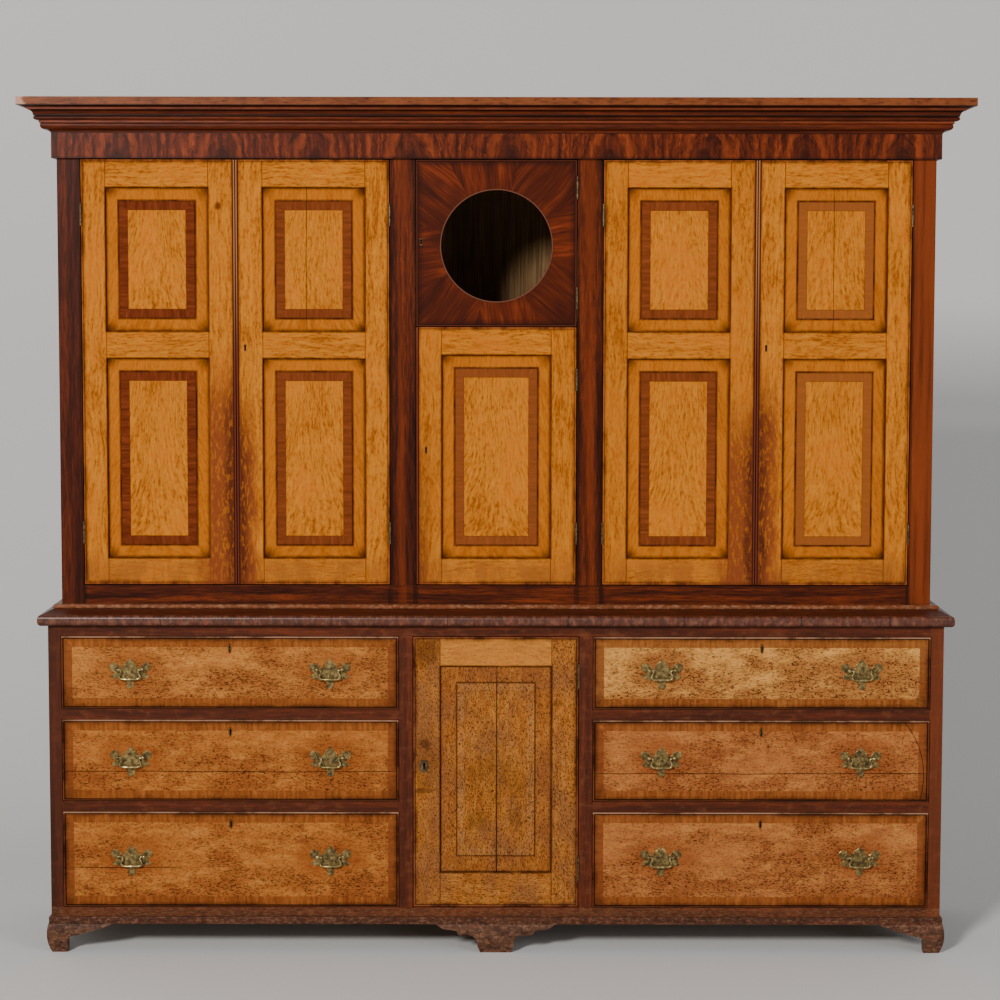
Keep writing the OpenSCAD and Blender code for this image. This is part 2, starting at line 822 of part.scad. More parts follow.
module keyhole_cut(x, y, z, depth) {
    translate([x, y + depth, z]) rotate([90, 0, 0]) linear_extrude(depth + 3) keyhole_shape(keyhole_r);
}

// Thin brass lining of a keyhole
module keyhole_lining(x, y, z) {
    translate([x, y + 2, z]) rotate([90, 0, 0]) linear_extrude(2.2) difference() {
        keyhole_shape(keyhole_r - FIT);
        keyhole_shape(keyhole_r - 0.9);
    }
}

side_bottom_rail = [0, bottom_rail_h];
lock_high = upper_door_h - top_rail_h - upper_panel_h;
SIDE_RAILS = [
    side_bottom_rail,
    [lock_high - lock_rail_h, lock_high],
    [upper_door_h - top_rail_h, upper_door_h]
];
MIDDLE_RAILS = [side_bottom_rail, [middle_door_h - top_rail_h, middle_door_h]];
BASE_RAILS = [[0, base_bottom_rail_h], [base_door_h - base_top_rail_h, base_door_h]];
upper_leaf_z = z_open + door_gap;
side_key_x = side_door_w - side_key_in;
side_key_z = lock_high - lock_rail_h / 2 - side_key_drop;

// Place of a side door: 1 and 4 hang on the outer stiles, 2 and 3 on the muntins
module place_side_door(n) {
    outer = n == 1 || n == 4;
    hinge_x = outer ? bay_out - door_gap : bay_in + door_gap;
    left_hung = n == 1 || n == 3;
    x = (n < 3 ? -1 : 1) * hinge_x;
    translate([x, y_up, upper_leaf_z]) mirror([left_hung ? 0 : 1, 0, 0]) children();
}

// A side door's frame with its hinge recesses, and a keyhole on doors 2 and 4
module side_door_frame(n, list) {
    locks = n == 2 || n == 4;
    color("goldenrod") difference() {
        place_side_door(n) difference() {
            framed_leaf(side_door_w, upper_door_h, hinge_stile_w, meeting_stile_w, SIDE_RAILS);
            if (locks) keyhole_cut(side_key_x, 0, side_key_z, lock_depth);
        }
        door_recesses(list);
    }
}

module side_door_panels(n) {
    color("orange") place_side_door(n) for (i = [0, 1]) banded_panel(
        hinge_stile_w, side_door_w - meeting_stile_w, SIDE_RAILS[i][1], SIDE_RAILS[i + 1][0]
    );
}

module side_door_hinges(n, list) {
    locks = n == 2 || n == 4;
    door_hinge_halves(list);
    if (locks) color("darkgoldenrod") place_side_door(n) keyhole_lining(side_key_x, 0, side_key_z);
}

module door_1_frame() { side_door_frame(1, DOOR_1); }
module door_1_panels() { side_door_panels(1); }
module door_1_hinges() { side_door_hinges(1, DOOR_1); }
module door_2_frame() { side_door_frame(2, DOOR_2); }
module door_2_panels() { side_door_panels(2); }
module door_2_hinges() { side_door_hinges(2, DOOR_2); }
module door_3_frame() { side_door_frame(3, DOOR_3); }
module door_3_panels() { side_door_panels(3); }
module door_3_hinges() { side_door_hinges(3, DOOR_3); }
module door_4_frame() { side_door_frame(4, DOOR_4); }
module door_4_panels() { side_door_panels(4); }
module door_4_hinges() { side_door_hinges(4, DOOR_4); }

// Centre doors hang on the right, so their leaves are drawn from the right edge
module place_centre_door(z) {
    translate([centre_half - door_gap, y_up, z]) mirror([1, 0, 0]) children();
}

clock_leaf_z = z_clock + door_gap / 2;
dial_z = z_door_top - dial_drop;
dial_ring = 3;
clock_key_x = centre_door_w - clock_key_in;

module clock_door_board() {
    b = bead_w + FIT;
    mid = dial_z - clock_leaf_z;
    centre = centre_door_w / 2;
    color("brown") difference() {
        place_centre_door(clock_leaf_z) difference() {
            union() {
                difference() {
                    box([b, 0, b], [centre_door_w - b, door_t, clock_door_h - b]);
                    keyhole_cut(clock_key_x, 0, mid + clock_key_up, lock_depth);
                    translate([centre, -9, mid]) rotate([-90, 0, 0])
                        cylinder(r = dial_r + dial_ring, h = 9 + door_t / 3 + FIT, $fn = 96);
                }
                cock_bead(centre_door_w, clock_door_h, door_t);
                translate([centre, -1.5, mid]) rotate([-90, 0, 0])
                    cylinder(r = dial_r + dial_ring - FIT, h = 1.5 + door_t / 3, $fn = 96);
            }
            translate([centre, -9, mid]) rotate([-90, 0, 0])
                cylinder(r = dial_r, h = 9 + door_t + 1, $fn = 96);
        }
        door_recesses(CLOCK_DOOR);
    }
}

module clock_door_brasses() {
    door_hinge_halves(CLOCK_DOOR);
    color("darkgoldenrod") place_centre_door(clock_leaf_z)
        keyhole_lining(clock_key_x, 0, dial_z - clock_leaf_z + clock_key_up);
}

middle_key_x = centre_door_w - middle_key_in;
middle_key_z = middle_door_h / 2 + centre_key_up;
module middle_door_frame() {
    color("goldenrod") difference() {
        place_centre_door(upper_leaf_z) difference() {
            framed_leaf(centre_door_w, middle_door_h, middle_stile_w, middle_stile_w, MIDDLE_RAILS);
            keyhole_cut(middle_key_x, 0, middle_key_z, lock_depth);
        }
        door_recesses(MIDDLE_DOOR);
    }
}

module middle_door_panel() {
    color("orange") place_centre_door(upper_leaf_z) banded_panel(
        middle_stile_w, centre_door_w - middle_stile_w, MIDDLE_RAILS[0][1], MIDDLE_RAILS[1][0]
    );
}

module middle_door_brasses() {
    door_hinge_halves(MIDDLE_DOOR);
    color("darkgoldenrod") place_centre_door(upper_leaf_z)
        keyhole_lining(middle_key_x, 0, middle_key_z);
}

base_key_z = base_door_h / 2 + centre_key_up;
base_key_x = base_door_w - base_key_in;
base_margin = 42;
module place_base_door() {
    translate([base_centre_half - door_gap, y_base, z_base_open + door_gap])
        mirror([1, 0, 0]) children();
}

module base_door() {
    color("goldenrod") difference() {
        place_base_door() difference() {
            framed_leaf(base_door_w, base_door_h, base_stile_door_w, base_stile_door_w, BASE_RAILS);
            keyhole_cut(base_key_x, 0, base_key_z, lock_depth);
        }
        door_recesses(BASE_DOOR);
    }
    color("orange") place_base_door() raised_panel(
        base_stile_door_w + FIT, base_door_w - base_stile_door_w - FIT,
        BASE_RAILS[0][1] + FIT, BASE_RAILS[1][0] - FIT, base_margin
    );
}

// Oval plate over the keyhole of the base door
module base_door_brasses() {
    door_hinge_halves(BASE_DOOR);
    color("darkgoldenrod") place_base_door() translate([base_key_x, 0, base_key_z])
        rotate([90, 0, 0]) linear_extrude(1.6) difference() {
            intersection() {
                translate([-9.5, 0]) circle(r = 21, $fn = 96);
                translate([9.5, 0]) circle(r = 21, $fn = 96);
                circle(r = 16);
            }
            keyhole_shape(keyhole_r - 0.2);
        }
}

// Which opening a drawer fills: 1 to 3 on the left from the top, 4 to 6 on the right
function opening_of(n) = DRAWERS[(n - 1) % 3];
function drawer_mid_x(n) = (n < 4 ? -1 : 1) * (drawer_in + drawer_out) / 2;

tail_l = 13;
pin_gap = 12;
// Side board of a drawer, its dovetails pointing to the front
module drawer_side_outline(h, l, n, spare) {
    pitch = h / n;
    translate([FIT, 0]) square([l - FIT, h]);
    for (i = [0:n - 1]) polygon([
        [1, i * pitch + pin_gap - spare], [1, (i + 1) * pitch - pin_gap + spare],
        [-tail_l - spare, (i + 1) * pitch - pin_gap / 2 + spare],
        [-tail_l - spare, i * pitch + pin_gap / 2 - spare]
    ]);
}

// Drawer drawn with its front in the plane y = 0, middle at x = 0, floor of the opening at z = 0
module drawer_woodwork(h) {
    w = drawer_open_w - 2 * drawer_gap;
    hh = h - 2 * drawer_gap;
    side_x = w / 2 - 1;
    side_h = hh - 8;
    inner = side_x - lining_t;
    body_l = drawer_l - front_t;
    tails = h > 200 ? 4 : 3;
    bottom_z = 14;
    bottom_t = 8;
    b = bead_w + FIT;
    bead_d = 7;
    translate([-w / 2, 0, drawer_gap]) cock_bead(w, hh, bead_d);
    difference() {
        union() {
            box([-w / 2, bead_d + FIT, drawer_gap], [w / 2, front_t, drawer_gap + hh]);
            box(
                [-w / 2 + b, 0, drawer_gap + b],
                [w / 2 - b, bead_d + 1, drawer_gap + hh - b]
            );
        }
        pair() translate([inner - FIT, front_t, SEAT]) rotate([90, 0, 90])
            linear_extrude(lining_t + 2) drawer_side_outline(side_h, 20, tails, FIT);
        box([-inner - 5, front_t - 7, bottom_z], [inner + 5, front_t + 1, bottom_z + bottom_t]);
        for (s = [-1, 1]) translate([s * handle_x(), -1, post_z(h)]) rotate([-90, 0, 0]) {
            for (p = [-1, 1]) translate([p * post_span / 2, 0, 0]) cylinder(r = post_r + 0.1, h = front_t + 2);
        }
        keyhole_cut(0, 0, key_z(h), front_t + 1);
    }
    pair() difference() {
        translate([inner, front_t, SEAT]) rotate([90, 0, 90]) linear_extrude(lining_t)
            drawer_side_outline(side_h, body_l, tails, 0);
        box(
            [inner - 5, front_t - 7, bottom_z - FIT],
            [inner + 5, front_t + body_l + 1, bottom_z + bottom_t + FIT]
        );
    }
    box(
        [-inner - 4, front_t - 6, bottom_z + FIT],
        [inner + 4, front_t + body_l - 1, bottom_z + bottom_t - FIT]
    );
    box(
        [-inner + FIT, front_t + body_l - lining_t - 2, bottom_z + bottom_t + FIT],
        [inner - FIT, front_t + body_l - 2, side_h - 6]
    );
}

function handle_x() = drawer_open_w / 2 - handle_inset;
function post_z(h) = h / 2 - plate_drop + post_rise;
function key_z(h) = h - drawer_key_drop;

module place_drawer(n) {
    o = opening_of(n);
    translate([drawer_mid_x(n), y_base, o[0]]) children();
}

module drawer_box(n) {
    color("chocolate") place_drawer(n) drawer_woodwork(opening_of(n)[1]);
}

// Handle plate with ears, side lobes and a pointed crest, centred on its middle
module plate_body() {
    rotate([90, 0, 0]) {
        linear_extrude(plate_t) square([62, 34], center = true);
        for (s = [-1, 1]) {
            translate([s * 41, 13.5, 0]) linear_extrude(plate_t) circle(r = 11.5);
            translate([s * 39, -8, 0]) linear_extrude(plate_t) circle(r = 8.5);
            linear_extrude(plate_t) polygon([[s * 24, -14], [s * 30, 20], [s * 46, 6], [s * 34, -13]]);
            translate([s * 16, 17, 0]) linear_extrude(plate_t) circle(r = 6);
        }
        translate([0, 20, 0]) linear_extrude(plate_t) circle(r = 13);
        translate([0, 29, 0]) linear_extrude(plate_t) circle(r = 6);
        linear_extrude(plate_t) polygon([[-5, 31], [5, 31], [0, 37]]);
        linear_extrude(plate_t) polygon([[-25, -14], [25, -14], [12, -25], [-12, -25]]);
        translate([0, -25, 0]) linear_extrude(plate_t) circle(r = 11);
        linear_extrude(plate_t) polygon([[-8, -31], [8, -31], [0, -41]]);
    }
}

// Plate, two posts with their nuts, and the keyhole lining
module drawer_brasses(n) {
    o = opening_of(n);
    h = o[1];
    plate_z = h / 2 - plate_drop;
    color("darkgoldenrod") place_drawer(n) {
        for (s = [-1, 1]) translate([s * handle_x(), 0, plate_z]) {
            difference() {
                plate_body();
                for (p = [-1, 1]) translate([p * post_span / 2, 1, post_rise]) rotate([90, 0, 0])
                    cylinder(r = post_r + 0.1, h = 5);
            }
            for (p = [-1, 1]) translate([p * post_span / 2, 0, post_rise]) handle_post();
        }
        keyhole_lining(0, 0, key_z(h));
    }
}

// Post with a round head, drilled across for the bail, and a nut inside the drawer
module handle_post() {
    head_r = 5.6;
    nut = 4;
    difference() {
        union() {
            translate([0, front_t + nut + 1, 0]) rotate([90, 0, 0])
                cylinder(r = post_r, h = front_t + nut + pivot_out - 2);
            translate([0, -pivot_out, 0]) rotate([0, 90, 0]) sphere(r = head_r);
            translate([0, -plate_t - FIT, 0]) rotate([90, 0, 0]) cylinder(r = 5, h = 2);
            translate([0, front_t + nut, 0]) rotate([90, 0, 0]) cylinder(r = 6.5, h = nut, $fn = 6);
        }
        translate([-10, -pivot_out, 0]) rotate([0, 90, 0]) cylinder(r = bail_pin_r + RUN, h = 20);
    }
}

// Swan-neck bail, hanging, with its pivot line on the X axis
module bail() {
    half = post_span / 2;
    pin_in = half - 9;
    pin_l = 11.5;
    neck = [[0, 0], [-1.4, -3.8], [-1.1, -8], [2.9, -13.5], [3.4, -18.5], [0.4, -22.6], [-4.2, -24.3]];
    last = len(neck) - 1;
    runs = [for (i = [1:last]) neck[i] - neck[i - 1]];
    heading = concat([-180], [for (run = runs) atan2(run[1], run[0])], [-180]);
    bar = pin_in + neck[last][0];
    swell = 1;
    color("darkgoldenrod") rotate([90, 0, 0]) {
        pair() translate([pin_in, 0, 0]) {
            rotate([0, 90, 0]) cylinder(r = bail_pin_r, h = pin_l);
            for (i = [1:last]) bail_rod(neck[i - 1], neck[i]);
            for (i = [0:last]) translate([neck[i][0], neck[i][1], 0])
                rotate([0, 0, (heading[i] + heading[i + 1]) / 2]) rotate([0, 90, 0])
                    sphere(r = bail_r + 0.2);
        }
        translate([0, neck[last][1], 0]) rotate([0, 90, 0]) rotate_extrude()
            polygon([[0, -bar], [bail_r, -bar], [bail_r + swell, 0], [bail_r, bar], [0, bar]]);
    }
}

// A straight stretch of the bail between two points of its neck
module bail_rod(from, to) {
    run = to - from;
    translate([from[0], from[1], 0]) rotate([0, 0, atan2(run[1], run[0])]) rotate([0, 90, 0])
        cylinder(r = bail_r, h = norm(run));
}

module place_bail(n, side) {
    h = opening_of(n)[1];
    place_drawer(n) translate([side * handle_x(), -pivot_out, post_z(h)]) bail();
}

module drawer_1_box() { drawer_box(1); }
module drawer_2_box() { drawer_box(2); }
module drawer_3_box() { drawer_box(3); }
module drawer_4_box() { drawer_box(4); }
module drawer_5_box() { drawer_box(5); }
module drawer_6_box() { drawer_box(6); }
module drawer_1_brasses() { drawer_brasses(1); }
module drawer_2_brasses() { drawer_brasses(2); }
module drawer_3_brasses() { drawer_brasses(3); }
module drawer_4_brasses() { drawer_brasses(4); }
module drawer_5_brasses() { drawer_brasses(5); }
module drawer_6_brasses() { drawer_brasses(6); }

cornice_moulding();
frieze_boards();
upper_case_sides();
upper_top_and_bottom();
upper_partitions();
upper_face_frame();
shelves();
back_boards();
waist_moulding();
upper_foot_moulding();
base_case_boards();
base_face_frame();
drawer_runners();
base_moulding();
bracket_feet();
case_hinge_halves();
hinge_pins();
door_1_frame();
door_1_panels();
door_1_hinges();
door_2_frame();
door_2_panels();
door_2_hinges();
door_3_frame();
door_3_panels();
door_3_hinges();
door_4_frame();
door_4_panels();
door_4_hinges();
clock_door_board();
clock_door_brasses();
middle_door_frame();
middle_door_panel();
middle_door_brasses();
base_door();
base_door_brasses();
drawer_1_box();
drawer_2_box();
drawer_3_box();
drawer_4_box();
drawer_5_box();
drawer_6_box();
drawer_1_brasses();
drawer_2_brasses();
drawer_3_brasses();
drawer_4_brasses();
drawer_5_brasses();
drawer_6_brasses();
place_bail(1, -1);  // bail_1_left
place_bail(1, 1);  // bail_1_right
place_bail(2, -1);  // bail_2_left
place_bail(2, 1);  // bail_2_right
place_bail(3, -1);  // bail_3_left
place_bail(3, 1);  // bail_3_right
place_bail(4, -1);  // bail_4_left
place_bail(4, 1);  // bail_4_right
place_bail(5, -1);  // bail_5_left
place_bail(5, 1);  // bail_5_right
place_bail(6, -1);  // bail_6_left
place_bail(6, 1);  // bail_6_right
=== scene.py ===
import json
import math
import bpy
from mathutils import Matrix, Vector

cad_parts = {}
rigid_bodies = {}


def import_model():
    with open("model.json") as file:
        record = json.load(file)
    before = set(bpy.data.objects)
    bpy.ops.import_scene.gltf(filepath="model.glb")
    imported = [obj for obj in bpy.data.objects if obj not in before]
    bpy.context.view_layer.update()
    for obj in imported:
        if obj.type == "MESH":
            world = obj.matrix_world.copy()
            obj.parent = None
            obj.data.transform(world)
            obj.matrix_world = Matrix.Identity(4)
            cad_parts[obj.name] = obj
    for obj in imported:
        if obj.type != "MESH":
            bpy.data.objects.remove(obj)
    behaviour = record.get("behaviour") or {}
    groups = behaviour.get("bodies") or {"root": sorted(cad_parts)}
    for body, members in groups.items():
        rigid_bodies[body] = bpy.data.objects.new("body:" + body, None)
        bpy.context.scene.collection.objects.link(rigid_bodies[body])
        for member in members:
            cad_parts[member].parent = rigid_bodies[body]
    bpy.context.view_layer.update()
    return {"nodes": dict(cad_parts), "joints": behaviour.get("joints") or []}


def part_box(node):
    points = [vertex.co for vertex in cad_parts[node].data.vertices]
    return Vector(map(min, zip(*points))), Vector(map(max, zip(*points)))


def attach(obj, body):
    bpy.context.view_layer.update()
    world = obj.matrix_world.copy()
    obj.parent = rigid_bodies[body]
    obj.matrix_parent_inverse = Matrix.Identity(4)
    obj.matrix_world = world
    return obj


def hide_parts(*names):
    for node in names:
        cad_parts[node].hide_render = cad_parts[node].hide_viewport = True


bl_info = {
    "name": "Housekeepers Cupboard",
    "version": (1, 0, 0),
    "blender": (4, 5, 0),
    "location": "View3D > Sidebar > Cupboard",
    "description": "Woods, veneers and brasses of a housekeeper's cupboard, on a plain stage",
    "category": "Object",
}

import bpy
from bpy.props import FloatProperty, FloatVectorProperty, PointerProperty
from mathutils import Euler, Matrix, Vector

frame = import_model()

CASE_PINE = (
    "upper_top_and_bottom", "upper_partitions", "shelves", "back_boards", "base_case_boards",
    "drawer_runners",
)
SIDE_DOORS = (1, 2, 3, 4)
DRAWERS = (1, 2, 3, 4, 5, 6)
HANDS = ("left", "right")

# Sizes in metres that the source has too
MARGIN = 0.033
BAND = 0.0225
BEAD = 0.004
HINGE_STILE = 0.060
MEETING_STILE = 0.066
MIDDLE_DOOR_STILE = 0.063
BOTTOM_RAIL = 0.066
CROSS_RAIL = 0.067
UPPER_PANEL = 0.3555
TOP_RAIL = 0.069
BASE_DOOR_STILE = 0.067
BASE_DOOR_BOTTOM = 0.0875
BASE_DOOR_TOP = 0.074
POST_RISE = 0.0095
POST_SPREAD = 0.03175

# Places and sizes of finishes and of finer forms, in metres
QUIRK = 0.0047
DIAL_HEIGHT = 1.7747
FRONT_BEHIND_BEAD = 0.002
KEYHOLE_RADIUS = 0.0035

# The floor and the backdrop it curves up into
FLOOR_WIDTH = 40.0
FLOOR_FRONT = -14.0
FLOOR_BACK = 3.2
BACKDROP_HEIGHT = 12.0
BACKDROP_CURVE = 2.4

# The camera fitted to the photograph: its place, its lens in millimetres, how many degrees it
# looks down, and its slight lean in radians
CAMERA_PLACE = (0.0096, -6.571, 1.6657)
CAMERA_LENS = 92.16
CAMERA_DIP = 4.69
CAMERA_ROLL = 0.0015


def shade(red, green, blue):
    """A colour on a 0 to 255 scale, as the linear colour a shader wants."""
    return tuple(
        v / 255 / 12.92 if v <= 10 else ((v / 255 + 0.055) / 1.055) ** 2.4
        for v in (red, green, blue)
    ) + (1.0,)


def colour_property(name, red, green, blue):
    return FloatVectorProperty(
        name=name, description=name + " of the finished piece", subtype="COLOR", size=4,
        min=0.0, max=1.0, default=shade(red, green, blue),
    )


class WoodColours(bpy.types.PropertyGroup):
    oak_light: colour_property("Light oak", 191, 121, 36)
    oak_mid: colour_property("Middle oak", 173, 101, 26)
    oak_dark: colour_property("Dark oak", 130, 68, 14)
    oak_warm: colour_property("Warm oak", 178, 90, 22)
    mahogany_light: colour_property("Light mahogany", 106, 44, 19)
    mahogany_mid: colour_property("Middle mahogany", 70, 27, 12)
    mahogany_dark: colour_property("Dark mahogany", 40, 15, 8)
    # Dark brown of real cracks, open joints and dirt, and also of painted shade in the grooves beside
    # beads, in the hollows of mouldings and along gaps
    grime: colour_property("Grime", 22, 11, 6)
    pine: colour_property("Pine", 112, 86, 58)


class BrassSizes(bpy.types.PropertyGroup):
    plate_thickness: FloatProperty(
        name="Plate thickness", description="Thickness of the handle plates", default=0.0014,
        min=0.0008, max=0.003, unit="LENGTH",
    )
    bail_radius: FloatProperty(
        name="Bail radius", description="Radius of the bails at their necks", default=0.0023,
        min=0.0015, max=0.004, unit="LENGTH",
    )


class StageLight(bpy.types.PropertyGroup):
    key_power: FloatProperty(
        name="Key light", description="Power of the lamp on the upper left", default=960.0,
        min=0.0, unit="POWER",
    )
    fill_power: FloatProperty(
        name="Fill light", description="Power of the lamp on the right", default=150.0,
        min=0.0, unit="POWER",
    )


class Value:
    """An output of a shader node, with which sums and products are written as usual."""

    def __init__(self, finish, socket):
        self.finish = finish
        self.socket = socket

    def __add__(self, other):
        return self.finish.math("ADD", self, other)

    def __radd__(self, other):
        return self.finish.math("ADD", other, self)

    def __sub__(self, other):
        return self.finish.math("SUBTRACT", self, other)

    def __rsub__(self, other):
        return self.finish.math("SUBTRACT", other, self)

    def __mul__(self, other):
        return self.finish.math("MULTIPLY", self, other)

    def __rmul__(self, other):
        return self.finish.math("MULTIPLY", other, self)

    def __abs__(self):
        return self.finish.math("ABSOLUTE", self)


class Finish:
    """A procedural finish built on object coordinates, one node at a time."""

    def __init__(self, name, roughness=0.75, metallic=0.0, specular=0.02):
        self.material = bpy.data.materials.new(name)
        self.material.use_nodes = True
        self.tree = self.material.node_tree
        self.shader = self.tree.nodes["Principled BSDF"]
        self.shader.inputs["Roughness"].default_value = roughness
        self.shader.inputs["Metallic"].default_value = metallic
        self.shader.inputs["Specular IOR Level"].default_value = specular
        self.place = Value(self, self.node("ShaderNodeTexCoord").outputs["Object"])
        self.x, self.y, self.z = self.split(self.place)
        self.colour = None

    def node(self, kind, values=(), **settings):
        made = self.tree.nodes.new(kind)
        for key, value in settings.items():
            setattr(made, key, value)
        for key, value in dict(values).items():
            self.feed(made.inputs[key], value)
        return made

    def feed(self, socket, value):
        if isinstance(value, Value):
            self.tree.links.new(value.socket, socket)
        else:
            socket.default_value = value

    def value(self, kind, values, **settings):
        """The first output of a new node."""
        return Value(self, self.node(kind, values, **settings).outputs[0])

    def split(self, vector):
        made = self.node("ShaderNodeSeparateXYZ", {0: vector})
        return [Value(self, part) for part in made.outputs]

    def join(self, x, y, z):
        return self.value("ShaderNodeCombineXYZ", {0: x, 1: y, 2: z})

    def math(self, operation, *values):
        return self.value("ShaderNodeMath", dict(enumerate(values)), operation=operation)

    def least(self, a, b):
        return self.math("MINIMUM", a, b)

    def most(self, a, *others):
        for b in others:
            a = self.math("MAXIMUM", a, b)
        return a

    def away(self, a, b):
        return abs(a - b)

    def rise(self, value, low, high, start=0.0, end=1.0):
        """start below low, end above high, and a smooth step between."""
        return self.value(
            "ShaderNodeMapRange", {0: value, 1: low, 2: high, 3: start, 4: end},
            interpolation_type="SMOOTHSTEP",
        )

    def fall(self, value, low, high):
        return self.rise(value, low, high, 1.0, 0.0)

    def between(self, value, low, high, soft=0.0004):
        return self.rise(value, low - soft, low + soft) * self.fall(value, high - soft, high + soft)

    def line(self, value, at, width):
        return self.fall(self.away(value, at), width * 0.4, width)

    def noise(self, at, scale=1.0, detail=3.0, rough=0.5, twist=0.0):
        return self.value("ShaderNodeTexNoise", {
            "Vector": at, "Scale": scale, "Detail": detail, "Roughness": rough, "Distortion": twist,
        })

    def stretched(self, at, across, through, along, shift=(0, 0, 0)):
        scale = (across, through, along)
        return self.value("ShaderNodeMapping", {"Vector": at, "Location": shift, "Scale": scale})

    def streaks(self, at, across, through, along, **settings):
        """Noise with a scale of its own in each direction."""
        return self.noise(self.stretched(at, across, through, along), **settings)

    def ramp(self, value, *stops):
        made = self.node("ShaderNodeValToRGB", {0: value})
        elements = made.color_ramp.elements
        while len(elements) < len(stops):
            elements.new(0.5)
        for element, (position, colour) in zip(elements, stops):
            element.position = position
            element.color = colour
        return Value(self, made.outputs[0])

    def blend(self, data_type, kind, factor, a, b):
        made = self.node("ShaderNodeMix", data_type=data_type)
        for name, value in (("Factor_Float", factor), ("A_" + kind, a), ("B_" + kind, b)):
            self.feed(next(s for s in made.inputs if s.identifier == name), value)
        return Value(self, next(s for s in made.outputs if s.identifier == "Result_" + kind))

    def mix(self, factor, a, b):
        """Colour a, or b where factor is 1."""
        return self.blend("RGBA", "Color", factor, a, b)

    def either(self, factor, a, b):
        """Vector a, or b where factor is 1."""
        return self.blend("VECTOR", "Vector", factor, a, b)

    def lay(self, mask, colour):
        """Covers the finish with another colour where the mask is 1."""
        self.colour = self.mix(mask, self.colour, colour)

    def shifted(self, vector, amount):
        """A vector moved through the figure by amount, so that each board differs."""
        step = self.join(amount * 0.37, amount * 3.1, amount * 1.7)
        return self.value("ShaderNodeVectorMath", {0: vector, 1: step}, operation="ADD")

    def finish(self, height, depth=0.0004, roughness=None):
        """Ends the finish with its colour, its bumps and, if given, its changing roughness."""
        self.feed(self.shader.inputs["Base Color"], self.colour)
        if roughness is not None:
            self.feed(self.shader.inputs["Roughness"], roughness)
        bumps = {"Height": height, "Distance": depth, "Strength": 0.6}
        self.feed(self.shader.inputs["Normal"], self.value("ShaderNodeBump", bumps))
        return self.material


def upright(f):
    """The grain vector of a board whose grain runs up."""
    return f.place


def lying(f):
    """The grain vector of a board whose grain runs across, from left to right."""
    return f.join(f.z, f.y, f.x)


def wavy(f, grain, sway, wide=8.0, tall=4.5):
    """The grain vector with its lines bent gently to and fro."""
    drift = f.streaks(grain, wide, wide, tall, detail=1.0) - 0.5
    x, y, z = f.split(grain)
    return f.join(x + drift * sway, y, z)


def oak_figure(f, grain, colours, speckle=1.0):
    """Straight oak: fine wavy lines, short flecks and clouds. Returns colour and height."""
    bent = wavy(f, grain, 0.055)
    flecks = f.streaks(bent, 240, 240, 78, detail=2, rough=0.6)
    lines = f.streaks(bent, 200, 200, 22, detail=2.5, rough=0.6)
    clouds = f.streaks(grain, 12, 12, 6, detail=3, rough=0.6)
    value = flecks * 0.55 + lines * 0.55 + clouds * 0.3
    colour = f.ramp(value, (0.55, colours.oak_dark), (0.7, colours.oak_mid), (0.86, colours.oak_light))
    warm = f.rise(clouds, 0.48, 0.66, 0.0, 0.35)
    colour = f.mix(warm, colour, colours.oak_warm)
    pores = f.rise(flecks, 0.58, 0.68) * (0.32 * speckle)
    colour = f.mix(pores, colour, shade(106, 46, 6))
    return colour, lines - flecks * 0.8


def mahogany_figure(f, grain, colours, spread=1.0):
    """Mahogany with broken ribbons along the grain. Returns colour and height."""
    bent = wavy(f, grain, 0.03, 10, 1.6)
    ribbon = f.streaks(bent, 60, 60, 2.4, detail=4, rough=0.6)
    fine = f.streaks(bent, 260, 260, 20, detail=2)
    value = (ribbon - 0.5) * spread + fine * 0.5
    colour = f.ramp(
        value, (0.08, colours.mahogany_dark), (0.25, colours.mahogany_mid), (0.45, colours.mahogany_light),
    )
    pores = f.streaks(bent, 340, 340, 45, detail=1.5)
    colour = f.mix(f.rise(pores, 0.54, 0.64, 0.0, 0.45), colour, colours.mahogany_dark)
    return colour, fine


def stained(f, at, scale=14.0, low=0.5, high=0.7):
    """Patches where wear or dirt has settled, from 0 to 1."""
    return f.rise(f.noise(at, scale, detail=5, rough=0.6), low, high)


def pollard_figure(f, grain):
    """Pollard oak: its mottled gold, and the mask of its many short dark curls and dots."""
    mottle = f.streaks(grain, 60, 60, 17, detail=5, rough=0.72, twist=0.3)
    colour = f.ramp(
        mottle, (0.26, shade(124, 67, 24)), (0.48, shade(161, 96, 38)), (0.72, shade(192, 130, 60)),
    )
    curls = f.streaks(grain, 110, 110, 40, detail=2, rough=0.6, twist=0.6)
    where = f.rise(f.streaks(grain, 40, 40, 24, detail=3, rough=0.7), 0.42, 0.54)
    curl = f.fall(f.away(curls, 0.5), 0.01, 0.026) * where
    ticks = f.rise(f.streaks(grain, 330, 330, 110, detail=1.5, rough=0.6), 0.55, 0.61)
    dots = f.rise(f.streaks(grain, 300, 300, 200, detail=1), 0.62, 0.68)
    return colour, f.most(curl * 0.6, f.most(ticks * 0.72, dots))


def rectangle(f, x0, x1, z0, z1):
    """Distances in from the sides, from top and bottom, and the least of them."""
    across = f.least(f.x - x0, x1 - f.x)
    up = f.least(f.z - z0, z1 - f.z)
    return across, up, f.least(across, up)


def beaded(f, edge):
    """The cock bead along an edge."""
    return f.fall(edge, BEAD, BEAD + 0.0004)


def band_grain(f, across, up, board, turn):
    """The grain of a crossband, which meets in mitres, and the mask of its upright strips."""
    side = f.rise(up - across, -0.0003, 0.0003)
    return f.shifted(f.either(side, upright(f), lying(f)), board + side * turn), side


